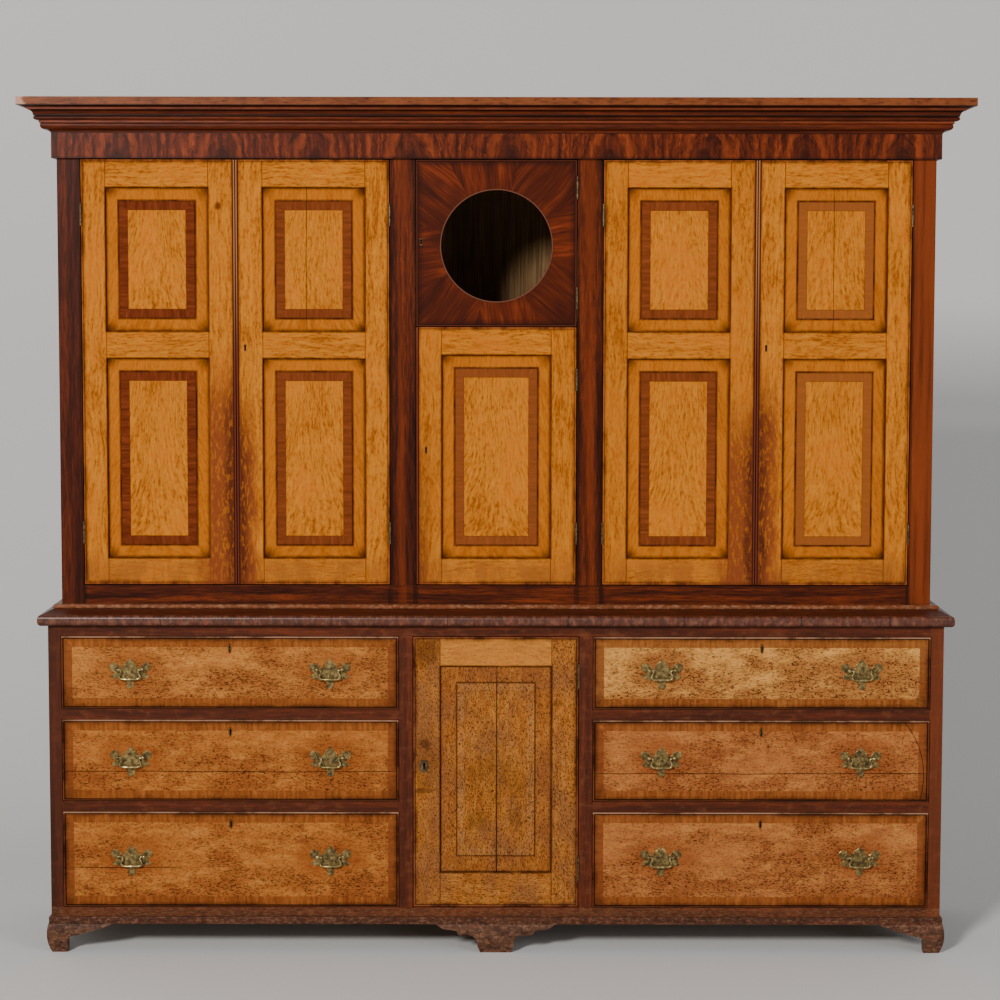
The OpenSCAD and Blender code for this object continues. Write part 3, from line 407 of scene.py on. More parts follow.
def handled(f, at_x, reach, top, bottom, amount):
    """Brown wear and, closer in, dark dirt that grow downwards beside an upright line."""
    apart = f.away(f.x, at_x)
    down = f.fall(f.z, bottom, top)
    patches = f.streaks(f.place, 50, 50, 14, detail=5, rough=0.65) - 0.5
    flecks = f.streaks(wavy(f, f.place, 0.04, 14, 9), 220, 220, 60, detail=2, rough=0.6)
    wide = f.math("DIVIDE", apart, reach) + patches * 1.3
    brown = f.rise(wide, 0.7, 1.35, 0.95, 0.0) * down
    brown = brown * f.rise(flecks, 0.5, 0.62, 1.0, 0.5)
    near = f.math("DIVIDE", apart, 0.028) + patches * 1.8
    dark = f.rise(near, 0.1, 1.45, 0.92, 0.0) * (down * f.rise(flecks, 0.48, 0.62, 1.0, 0.4))
    return brown * amount, dark * amount


def leaf_finish(name, node, left, right, openings, colours, seed, grime=(), knots=()):
    """Finish of a framed leaf: stiles, rails, the bead round them, darker outer edges, a dirtier foot, and
    painted shade round its panel openings.
    """
    low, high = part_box(node)
    f = Finish(name)
    rail = f.between(f.x, low.x + left, high.x - right)
    middle = (low.x + high.x) / 2
    stile = 1.0 - rail
    board = stile * f.rise(f.x, middle - 0.001, middle + 0.001, seed, seed + 2.3) + rail * 5.1
    for z0, z1 in openings:
        centre = (z0 + z1) / 2
        board = board + rail * f.rise(f.z, centre, centre + 0.001, 0, 1.9)
    grain = f.shifted(f.either(rail, upright(f), lying(f)), board)
    f.colour, height = oak_figure(f, grain, colours)
    tone = f.noise(f.join(board, 0.3, 0.7), 1.9, detail=0)
    f.lay(f.rise(tone, 0.35, 0.65, 0.0, 0.2), colours.oak_dark)
    edge = rectangle(f, low.x, high.x, low.z, high.z)[2]
    unevenness = f.streaks(f.place, 34, 34, 12, detail=4, rough=0.65)
    # Darker along the leaf's outer edges in uneven patches, and painted shade on the frame round each panel
    # opening, where the panel sits back
    rim = f.fall(edge, 0.006, 0.013) * f.rise(unevenness, 0.35, 0.62, 0.1, 0.65)
    for z0, z1 in openings:
        inside = rectangle(f, low.x + left, high.x - right, z0, z1)[2]
        close = f.rise(inside, -0.0045, -0.0006)
        rim = f.most(rim, close * f.rise(unevenness, 0.3, 0.6, 0.55, 0.95))
    foot = f.fall(f.z, low.z + 0.03, low.z + 0.1) * f.rise(unevenness, 0.34, 0.62, 0.25, 0.75)
    f.lay(foot, shade(134, 76, 32))
    f.lay(rim, shade(66, 29, 11))
    joint = f.most(f.line(f.x, low.x + left, 0.0016), f.line(f.x, high.x - right, 0.0016))
    joint = joint * f.between(f.y, -1.0, low.y + 0.012)
    f.lay(joint * 0.7, shade(84, 30, 12))
    front = f.fall(f.y, low.y + 0.012, low.y + 0.0125)
    bead = beaded(f, edge) * front
    bead_colour = f.mix(f.rise(unevenness, 0.35, 0.7), shade(150, 82, 38), shade(84, 38, 17))
    f.lay(bead, bead_colour)
    # Painted shade in the groove beside the bead
    quirk = f.line(edge, QUIRK, 0.0012) * front
    f.lay(quirk * 0.6, colours.grime)
    for place in grime:
        brown, black = (part * (0.25 + front * 0.75) for part in handled(f, *place))
        f.lay(brown, shade(116, 56, 28))
        f.lay(black, shade(58, 26, 17))
        apart = f.away(f.x, place[0])
        beside = f.rise(apart, 0.005, 0.014, 0.55, 0.0) * f.rise(unevenness, 0.3, 0.6, 0.4, 1.0)
        f.lay(beside * front, shade(122, 56, 22))
        touched = f.mix(f.rise(f.z, 1.45, 1.8), shade(92, 46, 36), shade(150, 102, 66))
        f.lay(f.rise(apart, 0.0038, 0.0044, 0.85, 0.0) * front, touched)
        # Painted shade in the groove beside the meeting bead
        line = f.line(apart, 0.0054, 0.0024) * front
        f.lay(line * 0.9, shade(54, 16, 10))
    for x, z, wide, tall in knots:
        spot = ellipse(f, x, z, wide, tall)
        f.lay(f.rise(spot, 0.1, 1.6, 0.85, 0.0), shade(70, 28, 10))
    return f.finish(height, 0.0003)


def panel_finish(name, node, left, right, openings, colours, seed, tone, splits=()):
    """Finish of fielded panels: sloping margin, mitred crossband and field, for each opening."""
    f = Finish(name)
    unevenness = f.streaks(f.place, 26, 26, 14, detail=4, rough=0.65)
    across = up = inside = tall = None
    row = 0.0
    for z0, z1 in openings:
        a, b, c = rectangle(f, left, right, z0, z1)
        height_in = f.z - (z0 + z1) / 2
        if across is None:
            across, up, inside, tall = a, b, c, height_in
        else:
            upper = f.rise(f.z, z0 - 0.03, z0 - 0.029)
            lower = 1.0 - upper
            across = a * upper + across * lower
            up = b * upper + up * lower
            inside = c * upper + inside * lower
            tall = height_in * upper + tall * lower
            row = upper
    board = row * 4.3 + seed
    offset = f.x - (left + right) / 2
    lean = f.value("ShaderNodeClamp", {0: offset * 10.0, 1: -1.0, 2: 1.0})
    peaked = f.join(f.x + tall * lean * 0.28, f.y, f.z)
    grain = f.shifted(peaked, board)
    f.colour, height = oak_figure(f, grain, colours, 0.9)
    slope = f.fall(inside, MARGIN - 0.0005, MARGIN + 0.0005)
    f.lay(slope * 0.5, shade(158, 82, 16))
    cross, _ = band_grain(f, across, up, board, 2.7)
    ribbon = f.streaks(cross, 120, 120, 14, detail=4, rough=0.6)
    fine = f.streaks(cross, 240, 240, 30, detail=2)
    band_colour = f.ramp(
        ribbon * 0.8 + fine * 0.4, (0.42, shade(76, 29, 13)), (0.6, shade(96, 41, 19)),
        (0.8, shade(116, 54, 27)),
    )
    band_colour = f.mix(tone, band_colour, shade(156, 90, 38))
    front = f.fall(f.y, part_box(node)[1].y - 0.0012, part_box(node)[1].y - 0.0006)
    within = f.between(inside, MARGIN, MARGIN + BAND, 0.0003) * front
    f.lay(within, band_colour)
    edges = f.line(inside, MARGIN + BAND, 0.0012) * front
    f.lay(edges * 0.45, shade(60, 26, 10))
    # Painted shade along the step where the raised field drops to the margin
    step = f.fall(f.away(inside, MARGIN - 0.001), 0.0006, 0.0046) * front
    f.lay(step * f.rise(unevenness, 0.35, 0.65, 0.65, 1.0), shade(58, 24, 12))
    # Painted shade where the margin runs into the frame, deepest in the corners, uneven in strength
    corner = f.math("SQRT", across * across + up * up)
    corner = f.fall(corner + (unevenness - 0.5) * 0.03, 0.002, 0.042)
    rim = f.most(f.fall(inside, 0.0, 0.009) * f.rise(unevenness, 0.3, 0.65, 0.6, 1.0), corner)
    f.lay(rim * 0.9, shade(48, 20, 8))
    for at, z0, z1 in splits:
        waver = f.x + (f.streaks(f.place, 1, 1, 9) - 0.5) * 0.006
        crack = f.line(waver, at, 0.0013) * f.between(f.z, z0, z1, 0.004)
        f.lay(crack * 0.75, colours.grime)
    return f.finish(height, 0.0003)


def ellipse(f, cx, cz, wide, tall):
    """The squared distance from a centre, 1 on the rim of an ellipse."""
    dx = (f.x - cx) * (1 / wide)
    dz = (f.z - cz) * (1 / tall)
    return dx * dx + dz * dz


def drawer_finish(name, node, colours, seed, handles, tint, splits=()):
    """Finish of a drawer: beaded front with its crossband, and plain linings behind it."""
    low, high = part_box(node)
    f = Finish(name)
    across, up, edge = rectangle(f, low.x, high.x, low.z, high.z)
    grain = f.shifted(lying(f), seed)
    f.colour, curls = pollard_figure(f, grain)
    f.lay(0.35, tint)
    unevenness = f.streaks(f.place, 9, 24, 16, detail=5, rough=0.65)
    lower = f.fall(f.z, low.z, low.z + (high.z - low.z) * 0.75)
    worn = f.rise(unevenness + lower * 0.1, 0.44, 0.68, 0.0, 0.65)
    f.lay(worn, shade(122, 62, 28))
    for x, _, z in handles:
        round_it = ellipse(f, x, z, 0.082, 0.05) + (unevenness - 0.5) * 3.0
        f.lay(f.rise(round_it, 0.2, 1.6, 0.48, 0.0), shade(120, 52, 20))
    cross, side = band_grain(f, across, up, seed, 1.3)
    ribbon = f.streaks(cross, 130, 130, 16, detail=4, rough=0.65)
    banding = f.ramp(ribbon, (0.3, shade(90, 42, 16)), (0.5, shade(122, 64, 27)), (0.7, shade(148, 86, 40)))
    banding = f.mix(side * 0.6, banding, shade(104, 50, 26))
    band = f.between(edge, BEAD, BEAD + BAND + 0.0005)
    f.lay(band * 0.85, banding)
    crowd = f.rise(unevenness + lower * 0.12, 0.4, 0.66, 0.45, 1.0)
    curls = curls * crowd * (1.0 - band * 0.6)
    f.lay(curls, shade(58, 24, 9))
    # Darker along the edges and towards the lower corners, in uneven patches
    rim = f.fall(edge, 0.004, 0.018) * f.rise(unevenness, 0.34, 0.6, 0.15, 0.85)
    low_corner = f.fall(across, 0.0, 0.06) * f.fall(f.z - low.z, 0.0, 0.06)
    rim = f.most(rim, low_corner * 0.8)
    # Painted shade of the keyhole, a little larger than the hole
    lock = ellipse(
        f, (low.x + high.x) / 2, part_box(node.replace("box", "brasses"))[1].z - 0.008, 0.005, 0.013,
    )
    rim = f.most(rim, f.rise(lock, 0.5, 1.4, 0.8, 0.0))
    f.lay(rim, shade(58, 26, 11))
    for kind, *sizes in splits:
        if kind == "level":
            at, x0, x1 = sizes
            waver = f.z + (f.streaks(f.place, 5, 1, 1) - 0.5) * 0.006
            crack = f.line(waver, at, 0.0016) * f.between(f.x, x0, x1, 0.02)
        else:
            cx, cz, r, x_from = sizes
            ring = f.math("POWER", f.x - cx, 2.0)
            ring = f.math("SQRT", ring + f.math("POWER", f.z - cz, 2.0))
            crack = f.line(ring, r, 0.0015) * f.rise(f.x, x_from, x_from + 0.004)
        f.lay(crack * 0.8, colours.grime)
    bead = beaded(f, edge)
    bead_colour = f.mix(f.rise(unevenness, 0.4, 0.65), shade(102, 54, 30), shade(52, 24, 13))
    # Painted highlights along the top of the bead and along its lower edge
    lit = f.rise(f.z, high.z - 0.0046, high.z - 0.004) * f.rise(unevenness, 0.45, 0.6, 0.8, 0.2)
    under = f.fall(f.z, low.z + 0.0016, low.z + 0.0022) * f.rise(unevenness, 0.42, 0.58, 0.1, 0.7)
    bead_colour = f.mix(f.most(lit, under), bead_colour, shade(158, 116, 90))
    f.lay(bead, bead_colour)
    # Painted shade in the groove round the bead
    f.lay(f.line(edge, 0.0049, 0.002) * 0.92, colours.grime)
    front = f.fall(f.y, low.y + 0.004, low.y + 0.0045)
    lining, _ = oak_figure(f, f.join(f.x, f.z, f.y), colours, 0.7)
    lining = f.mix(0.55, lining, colours.pine)
    f.colour = f.mix(front, lining, f.colour)
    return f.finish(1.0 - curls * front, 0.0003)


def upper_frame_finish(colours):
    f = Finish("mahogany frame of the upper case", 0.36, specular=0.05)
    door_low, door_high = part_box("door_1_frame")
    post = f.between(f.z, door_low.z - 0.002, door_high.z + 0.002)
    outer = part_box("door_4_frame")[1].x + 0.002
    beside = abs(f.x)
    end = f.rise(beside, outer, outer + 0.0005)
    standing = f.most(post, end)
    half = standing * f.rise(f.x, -0.001, 0.001, 0.0, 3.7)
    board = half + (end * 1.9 + standing * 0.7)
    grain = f.shifted(f.either(standing, lying(f), upright(f)), board)
    f.colour, height = mahogany_figure(f, grain, colours, 0.9)
    muntin = 0.2325
    glow = f.fall(f.away(beside, muntin), 0.004, 0.02)
    glow = glow * f.rise(f.streaks(f.place, 60, 1, 2.0, detail=3), 0.38, 0.6)
    f.lay(glow * 0.45, shade(112, 46, 19))
    streaks = f.rise(f.streaks(f.place, 70, 1, 3, detail=3), 0.3, 0.6, 0.3, 0.7)
    right = f.rise(f.x, outer, outer + 0.001) * streaks
    f.lay(right, shade(122, 54, 22))
    left = f.rise(f.x, -outer - 0.001, -outer, 0.35, 0.0)
    f.lay(left, shade(46, 20, 14))
    unevenness = f.streaks(f.place, 50, 50, 5, detail=4)
    # Painted shade along the gaps beside the doors, uneven in strength
    rims = [f.line(beside, edge, width) * amount for edge, width, amount in (
        (0.201, 0.009, 0.8), (0.264, 0.009, 0.8), (outer, 0.008, 0.75),
    )]
    rims = f.most(*rims) * f.rise(unevenness, 0.35, 0.65, 0.5, 1.0)
    # Darker on the rail just below the doors, and on the rails above them
    foot = (1.0 - standing) * f.rise(f.z, door_low.z - 0.012, door_low.z, 0.0, 0.5)
    f.lay(f.most(rims, foot), colours.grime)
    return f.finish(height, 0.0002)


def base_frame_finish(colours):
    f = Finish("mahogany frame of the base", 0.4, specular=0.08)
    low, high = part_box("drawer_1_box")
    inner = abs(high.x) + 0.0012
    outer = abs(low.x) - 0.0012
    a = abs(f.x)
    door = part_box("base_door")
    standing = f.most(
        f.rise(a, outer, outer + 0.0005),
        f.between(a, door[1].x + 0.001, inner) * f.between(f.z, door[0].z - 0.002, door[1].z + 0.002),
    )
    board = standing * f.rise(f.x, -0.001, 0.001, 1.9, 4.4) + 7.0
    grain = f.shifted(f.either(standing, lying(f), upright(f)), board)
    f.colour, height = mahogany_figure(f, grain, colours, 0.8)
    f.lay(0.35, shade(76, 40, 26))
    worn = stained(f, f.stretched(f.place, 1, 1, 1.6), 26.0, 0.5, 0.7)
    f.lay(worn * 0.3, shade(118, 68, 42))
    right = f.rise(f.x, outer, outer + 0.001, 0.0, 0.3)
    f.lay(right, shade(122, 60, 30))
    left = f.rise(f.x, -outer - 0.001, -outer, 0.45, 0.0)
    f.lay(left, shade(50, 28, 20))
    low_rail = f.fall(f.z, door[0].z - 0.004, door[0].z - 0.002)
    chipped = f.streaks(f.place, 70, 70, 260, detail=5, rough=0.75)
    f.lay(low_rail * f.rise(chipped, 0.42, 0.66, 0.05, 0.55), shade(120, 82, 54))
    return f.finish(height, 0.0002)


def frieze_finish(colours):
    """Crotch mahogany: dark arches of nested flames between upright stripes."""
    f = Finish("flame veneer of the frieze", 0.34, specular=0.07)
    low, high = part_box("frieze_boards")
    leaf = 0.242
    sway = (f.streaks(f.place, 5, 1, 2, detail=1) - 0.5) * 0.07
    turn = (f.x + (0.933 + leaf * 4.5) + sway) * (1 / leaf)
    index = f.math("FLOOR", turn)
    du = (f.math("FRACT", turn) - 0.5) * leaf
    rise_up = f.z - (low.z - 0.004)
    wobble = (f.streaks(f.place, 30, 4, 24, detail=3) - 0.5) * 1.1
    ring = f.math(
        "SQRT", f.math("POWER", du * (1 / 0.034), 2.0) + f.math("POWER", rise_up * (1 / 0.06), 2.0),
    )
    ring = ring + wobble
    flow = f.join(ring, index * 0.61, f.x * 4.0 + f.z * 9.0)
    fine = f.streaks(flow, 14, 9, 5, detail=3, rough=0.65)
    nested = f.math("SINE", ring * 8.0 + fine * 6.0)
    stripes = f.streaks(wavy(f, f.place, 0.03, 12, 8), 90, 90, 7, detail=4, rough=0.6)
    value = nested * 0.05 + fine * 0.5 + stripes * 0.58
    f.colour = f.ramp(
        value, (0.42, shade(48, 17, 8)), (0.56, shade(86, 33, 14)), (0.74, shade(130, 57, 26)),
    )
    f.lay(f.rise(f.away(ring, 1.45), 0.0, 0.4, 0.35, 0.0), shade(132, 58, 26))
    f.lay(f.rise(ring, 0.35, 1.1, 0.8, 0.0), shade(46, 17, 9))
    across = rectangle(f, low.x, high.x, low.z, high.z)[0]
    f.lay(f.rise(f.z - low.z, 0.0, 0.008, 0.6, 0.0), colours.grime)
    f.lay(f.rise(across, 0.0, 0.03, 0.45, 0.0), shade(44, 22, 18))
    return f.finish(fine, 0.0001)


def cornice_finish(colours):
    f = Finish("worn mahogany of the cornice", 0.34, specular=0.08)
    low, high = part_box("cornice_moulding")
    grain, height = mahogany_figure(f, lying(f), colours, 0.8)
    f.colour = f.mix(0.25, grain, shade(88, 36, 16))
    top = f.rise(f.z, high.z - 0.0205, high.z - 0.0195)
    wear = f.streaks(f.place, 14, 14, 60, detail=5, rough=0.7)
    f.lay(top * f.rise(wear, 0.35, 0.6, 0.35, 0.9), shade(120, 64, 32))
    spots = f.streaks(f.place, 34, 60, 150, detail=4, rough=0.7)
    f.lay(top * f.rise(spots, 0.53, 0.66) * 0.6, colours.grime)
    # A chip at the left end of the top fillet, pale as bare wood and paler still with a painted highlight
    # of the lamp's sheen
    chip = top * f.fall(f.x - low.x + wear * 0.05, 0.04, 0.05)
    f.lay(chip * 0.7, shade(190, 148, 124))
    # Painted shade in the hollows of the profile
    for drop, width in ((0.0205, 0.003), (0.0315, 0.002), (0.043, 0.004), (0.0835, 0.002)):
        hollow = f.line(f.z, high.z - drop, width)
        f.lay(hollow * 0.8, colours.grime)
    for drop, width in ((0.0265, 0.003), (0.056, 0.003)):
        lit = f.line(f.z, high.z - drop, width) * f.rise(wear, 0.35, 0.6, 0.2, 0.6)
        f.lay(lit, shade(140, 70, 42))
    return f.finish(height, 0.0003)


def waist_finish(colours):
    """The waist: a slope of long-grained veneer darkened by painted shade, over a nose of cross-grained
    veneer with open joints and painted shade along its underside.
    """
    f = Finish("cross-grained nose of the waist", 0.34, specular=0.35)
    low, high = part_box("waist_moulding")
    across, height = mahogany_figure(f, f.stretched(upright(f), 1, 1, 0.8), colours, 0.8)
    along, _ = mahogany_figure(f, lying(f), colours, 0.5)
    nose = f.fall(f.z, high.z - 0.014, high.z - 0.011)
    # The slope is darker than the nose: long-grained veneer with painted shade mixed into it
    f.colour = f.mix(nose, f.mix(0.4, along, shade(60, 27, 15)), f.mix(0.4, across, shade(80, 43, 28)))
    worn = f.streaks(f.place, 60, 60, 40, detail=4, rough=0.7)
    f.lay(nose * f.rise(worn, 0.46, 0.66, 0.0, 0.45), shade(132, 84, 60))
    f.lay(nose * f.rise(worn, 0.34, 0.46, 0.5, 0.0), shade(50, 24, 14))
    places = (-0.8341, -0.6525, -0.41, -0.12, 0.18, 0.469, 0.7599, 0.98)
    joints = f.most(*(f.line(f.x, at, 0.0022) for at in places))
    f.lay(joints * nose * 0.8, colours.grime)
    # Painted shade along the bottom of the nose, where it turns under
    foot = f.fall(f.z, low.z + 0.001, low.z + 0.006)
    f.lay(foot * 0.7, colours.grime)
    return f.finish(height + worn, 0.0008)


def plain_mahogany(name, colours, grain_of, tint, amount, worn, dirty, roughness=0.45):
    """Mahogany tinted by the given amount, with its share of rubbed and of dirty patches; on the thin
    moulding the lighter tint and the pale rubbed patches stand partly for a painted highlight and glints.
    """
    f = Finish(name, roughness, specular=0.08)
    f.colour, height = mahogany_figure(f, grain_of(f), colours, 0.8)
    f.lay(amount, tint)
    rubbed = f.streaks(f.place, 90, 90, 150, detail=4, rough=0.75)
    f.lay(f.rise(rubbed, 0.47, 0.62, 0.0, worn), shade(150, 108, 82))
    dirt = f.noise(f.stretched(f.place, 40, 40, 70, (4, 2, 1)), detail=5, rough=0.75)
    f.lay(f.rise(dirt, 0.48, 0.62, 0.0, dirty), shade(42, 25, 18))
    return f.finish(height, 0.0004)


def pine_finish(colours):
    """Bare softwood of the parts that nobody sees, dusty and browned, stained outside."""
    f = Finish("bare pine of the insides")
    grain = f.shifted(upright(f), f.math("FLOOR", f.x * 4.7))
    rings = f.math("SINE", f.streaks(grain, 9, 9, 0.7, detail=2) * 60)
    streaks = f.streaks(grain, 200, 200, 6, detail=3)
    value = rings * 0.05 + streaks
    f.colour = f.ramp(value, (0.34, shade(92, 68, 45)), (0.5, colours.pine), (0.68, shade(132, 104, 72)))
    dust = stained(f, f.place, 6.0, 0.42, 0.7)
    f.lay(dust * 0.5, shade(84, 62, 44))
    stain, _ = mahogany_figure(f, f.shifted(upright(f), 5.5), colours, 0.8)
    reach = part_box("base_case_boards")[1].x - 0.0008
    outside = f.rise(abs(f.x), reach - 0.0002, reach)
    f.lay(outside, stain)
    return f.finish(streaks, 0.0003)


def sunburst_finish(colours):
    """Clock door: wedges of mahogany veneer that radiate from the round opening."""
    f = Finish("radiating veneer of the clock door", 0.34, specular=0.05)
    low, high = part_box("clock_door_board")
    centre = Vector(((low.x + high.x) / 2, 0, DIAL_HEIGHT))
    dx, dz = f.x - centre.x, f.z - centre.z
    angle = f.math("ARCTAN2", dz, dx)
    radius = f.math("SQRT", dx * dx + dz * dz)
    wedge = f.math("FLOOR", (angle + 0.26) * (8 / math.tau))
    middle = (wedge + 0.5) * (math.tau / 8)
    turned = angle + 0.26 - middle
    along = radius * f.math("COSINE", turned)
    across = radius * f.math("SINE", turned)
    grain = f.shifted(f.join(across, f.y, along), wedge * 1.37)
    bent = wavy(f, grain, 0.04, 9, 5)
    ribbon = f.streaks(bent, 36, 36, 4.0, detail=4, rough=0.6)
    fine = f.streaks(bent, 220, 220, 14, detail=2)
    f.colour = f.ramp(
        ribbon * 0.75 + fine * 0.5, (0.46, shade(54, 19, 9)), (0.62, shade(80, 29, 12)),
        (0.84, shade(118, 48, 21)),
    )
    cloud = f.noise(f.place, 9.0, detail=2)
    f.lay(f.rise(cloud, 0.4, 0.6, 0.5, 0.0), shade(50, 18, 9))
    seam = f.rise(f.away(turned, 0.0), 0.388, 0.3925) * 0.35
    f.lay(seam, colours.grime)
    edge = rectangle(f, low.x, high.x, low.z, high.z)[2]
    f.lay(f.rise(edge, 0.004, 0.022, 0.65, 0.0), shade(34, 13, 7))
    bead = beaded(f, edge)
    f.lay(bead, shade(74, 34, 22))
    # Painted shade in the groove beside the bead
    f.lay(f.line(edge, QUIRK, 0.0012) * 0.85, colours.grime)
    front = f.fall(f.y, low.y + 0.004, low.y + 0.0042)
    plain, _ = mahogany_figure(f, f.shifted(upright(f), 9.1), colours, 0.8)
    f.colour = f.mix(front, plain, f.colour)
    ring = f.between(radius, 0.1365, 0.14) * front
    f.lay(ring, shade(100, 60, 44))
    return f.finish(fine, 0.0002)


def brass_finish(name, dark, middle, light, dullest=0.5, brightest=0.3):
    """Dull old brass, mottled from brown patches to rubbed and shiny ones."""
    f = Finish(name, 0.38, 0.7, 0.4)
    tarnish = f.noise(f.place, 120.0, detail=4, rough=0.65)
    f.colour = f.ramp(tarnish, (0.36, dark), (0.52, middle), (0.7, light))
    rough = f.rise(tarnish, 0.3, 0.7, dullest, brightest)
    return f.finish(tarnish, 0.0001, rough)


def old_brass(name):
    """The brown brass of hinges and keyhole plates."""
    return brass_finish(name, shade(52, 40, 26), shade(88, 70, 44), shade(122, 100, 66))


def paint(node, material):
    """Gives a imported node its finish."""
    in_material(frame["nodes"][node], material)


# Pieces


def nothing_selected():
    for o in bpy.context.view_layer.objects:
        o.select_set(False)


def at_origin(piece):
    """Moves an object's place into its mesh."""
    nothing_selected()
    piece.select_set(True)
    bpy.context.view_layer.objects.active = piece
    bpy.ops.object.transform_apply(location=True, rotation=True, scale=True)


def copied(piece, name, offset):
    made = piece.copy()
    made.data = piece.data.copy()
    made.name = made.data.name = name
    made.data.transform(Matrix.Translation(offset))
    bpy.context.scene.collection.objects.link(made)
    return made


def joined(pieces):
    """One object out of several."""
    nothing_selected()
    for piece in pieces:
        piece.select_set(True)
    bpy.context.view_layer.objects.active = pieces[0]
    bpy.ops.object.join()
    return bpy.context.object


def outlined(places, fill="NOTHING"):
    """A closed ring of edges through the given places, filled with a face if fill is NGON."""
    nothing_selected()
    bpy.ops.mesh.primitive_circle_add(vertices=len(places), radius=0.01, fill_type=fill)
    made = bpy.context.object
    for vertex, place in zip(made.data.vertices, places):
        vertex.co = place
    return made


def open_mesh():
    """Starts the editing of the active object's whole mesh."""
    bpy.ops.object.mode_set(mode="EDIT")
    bpy.ops.mesh.select_all(action="SELECT")


def close_mesh():
    """Turns all faces outward and ends the editing."""
    bpy.ops.mesh.select_all(action="SELECT")
    bpy.ops.mesh.normals_make_consistent(inside=False)
    bpy.ops.object.mode_set(mode="OBJECT")


def in_material(piece, material):
    """Gives a piece one material only."""
    piece.data.materials.clear()
    piece.data.materials.append(material)


def pivot(bail):
    """Where the bail of this name turns."""
    return next(j["pos_m"] for j in frame["joints"] if j["child"] == bail)


# Half outline of a handle plate in millimetres, from the crest round to the foot
PLATE_EDGE = (
    (2.4, 36.2), (3.4, 34.0), (2.8, 31.8), (5.6, 30.0), (9.0, 27.4), (12.4, 24.4), (15.4, 21.0),
    (17.2, 17.6), (16.2, 14.8), (17.6, 12.4), (20.8, 12.2), (24, 13.6), (28, 17), (31, 21.8),
    (35.5, 25.0), (41, 26.0), (46.5, 24.4), (50.8, 20.0), (52.2, 14.0), (50.5, 8.4), (46.5, 4.6),
    (41.5, 2.8), (39, 0), (41, -2.8), (45.2, -4.6), (47.3, -8.4), (46, -12.8), (41.5, -15.6),
    (37, -14.6), (34.5, -12.4), (31.5, -14.4), (27.5, -17.4), (22.5, -19.0), (17.5, -18.8),
    (13.0, -19.8), (9.8, -21.8), (8.4, -24.8), (9.2, -29.0), (9.0, -33.0), (7.0, -37.0), (3.8, -40.0),
)


def handle_plate(thickness):
    """One shaped back plate in the plane y = 0, with a bevelled rim."""
    edge = [(0, 37)] + list(PLATE_EDGE) + [(0, -41)] + [(-x, z) for x, z in reversed(PLATE_EDGE)]
    plate = outlined([(x / 1000, 0, z / 1000) for x, z in edge], "NGON")
    open_mesh()
    bpy.ops.mesh.extrude_region_move(TRANSFORM_OT_translate={"value": (0, -thickness, 0)})
    bpy.ops.mesh.inset(thickness=0.0008, depth=0)
    bpy.ops.transform.translate(value=(0, -0.0004, 0))
    close_mesh()
    return plate


def turned_post(front, reach):
    """One handle post turned round the y axis: ball, neck, collar, and the nut on its tail."""
    profile = (
        (0, front + 0.005), (0.0032, front + 0.005), (0.0032, front + 0.004), (0.0065, front + 0.004),
        (0.0065, front), (0.0032, front), (0.0032, -0.0018), (0.0056, -0.0018),
        (0.0058, -0.0026), (0.0052, -0.0034), (0.0038, -0.0042), (0.0033, -0.0056),
        (0.0036, -reach + 0.0046), (0.0047, -reach + 0.0034), (0.0055, -reach + 0.0014),
        (0.0056, -reach - 0.0004), (0.0051, -reach - 0.0026), (0.0040, -reach - 0.0042),
        (0.0022, -reach - 0.0053), (0, -reach - 0.0056),
    )
    post = outlined([(r, y, 0) for r, y in profile])
    open_mesh()
    bpy.ops.mesh.spin(
        steps=24, angle=math.tau, use_auto_merge=True, center=(0, 0, 0), axis=(0, 1, 0)
    )
    bpy.ops.mesh.select_all(action="SELECT")
    bpy.ops.mesh.remove_doubles(threshold=0.00005)
    bpy.ops.mesh.dissolve_degenerate()
    close_mesh()
    for vertex in post.data.vertices:
        x, y, z = vertex.co
        if math.hypot(x, z) > 0.006:
            turn = math.atan2(z, x) % (math.tau / 6) - math.tau / 12
            flat = math.cos(math.tau / 12) / math.cos(turn)
            vertex.co = (x * flat, y, z * flat)
    bpy.ops.object.shade_smooth_by_angle(angle=math.radians(50))
    return post


class CUPBOARD_OT_case(bpy.types.Operator):
    """Finish the case: frames, cornice, frieze, waist, feet and the insides"""

    bl_idname = "cupboard.case"
    bl_label = "Finish the Case"

    def execute(self, context):
        colours = context.scene.cupboard_woods
        paint("upper_face_frame", upper_frame_finish(colours))
        paint("base_face_frame", base_frame_finish(colours))
        paint("frieze_boards", frieze_finish(colours))
        paint("cornice_moulding", cornice_finish(colours))
        paint("waist_moulding", waist_finish(colours))
        for node, name, grain_of, tint, amounts in (
            ("upper_case_sides", "mahogany sides", upright, shade(70, 30, 15), (0.2, 0.1, 0.2)),
            ("base_moulding", "worn foot moulding", lying, shade(70, 45, 33), (0.6, 0.30, 0.6)),
            ("bracket_feet", "worn bracket feet", lying, shade(84, 60, 46), (0.65, 0.4, 0.7)),
            # The thin moulding is tinted lighter with many pale patches: partly its own colour and rubbed
            # wear, partly a painted highlight with glints
            ("upper_foot_moulding", "thin moulding", lying, shade(124, 70, 40), (0.6, 0.6, 0.3, 0.3)),
        ):
            paint(node, plain_mahogany(name, colours, grain_of, tint, *amounts))
        pine = pine_finish(colours)
        for node in CASE_PINE:
            paint(node, pine)
        brass = old_brass("hinge brass")
        for node in ("case_hinge_halves", "hinge_pins"):
            paint(node, brass)
        return {"FINISHED"}


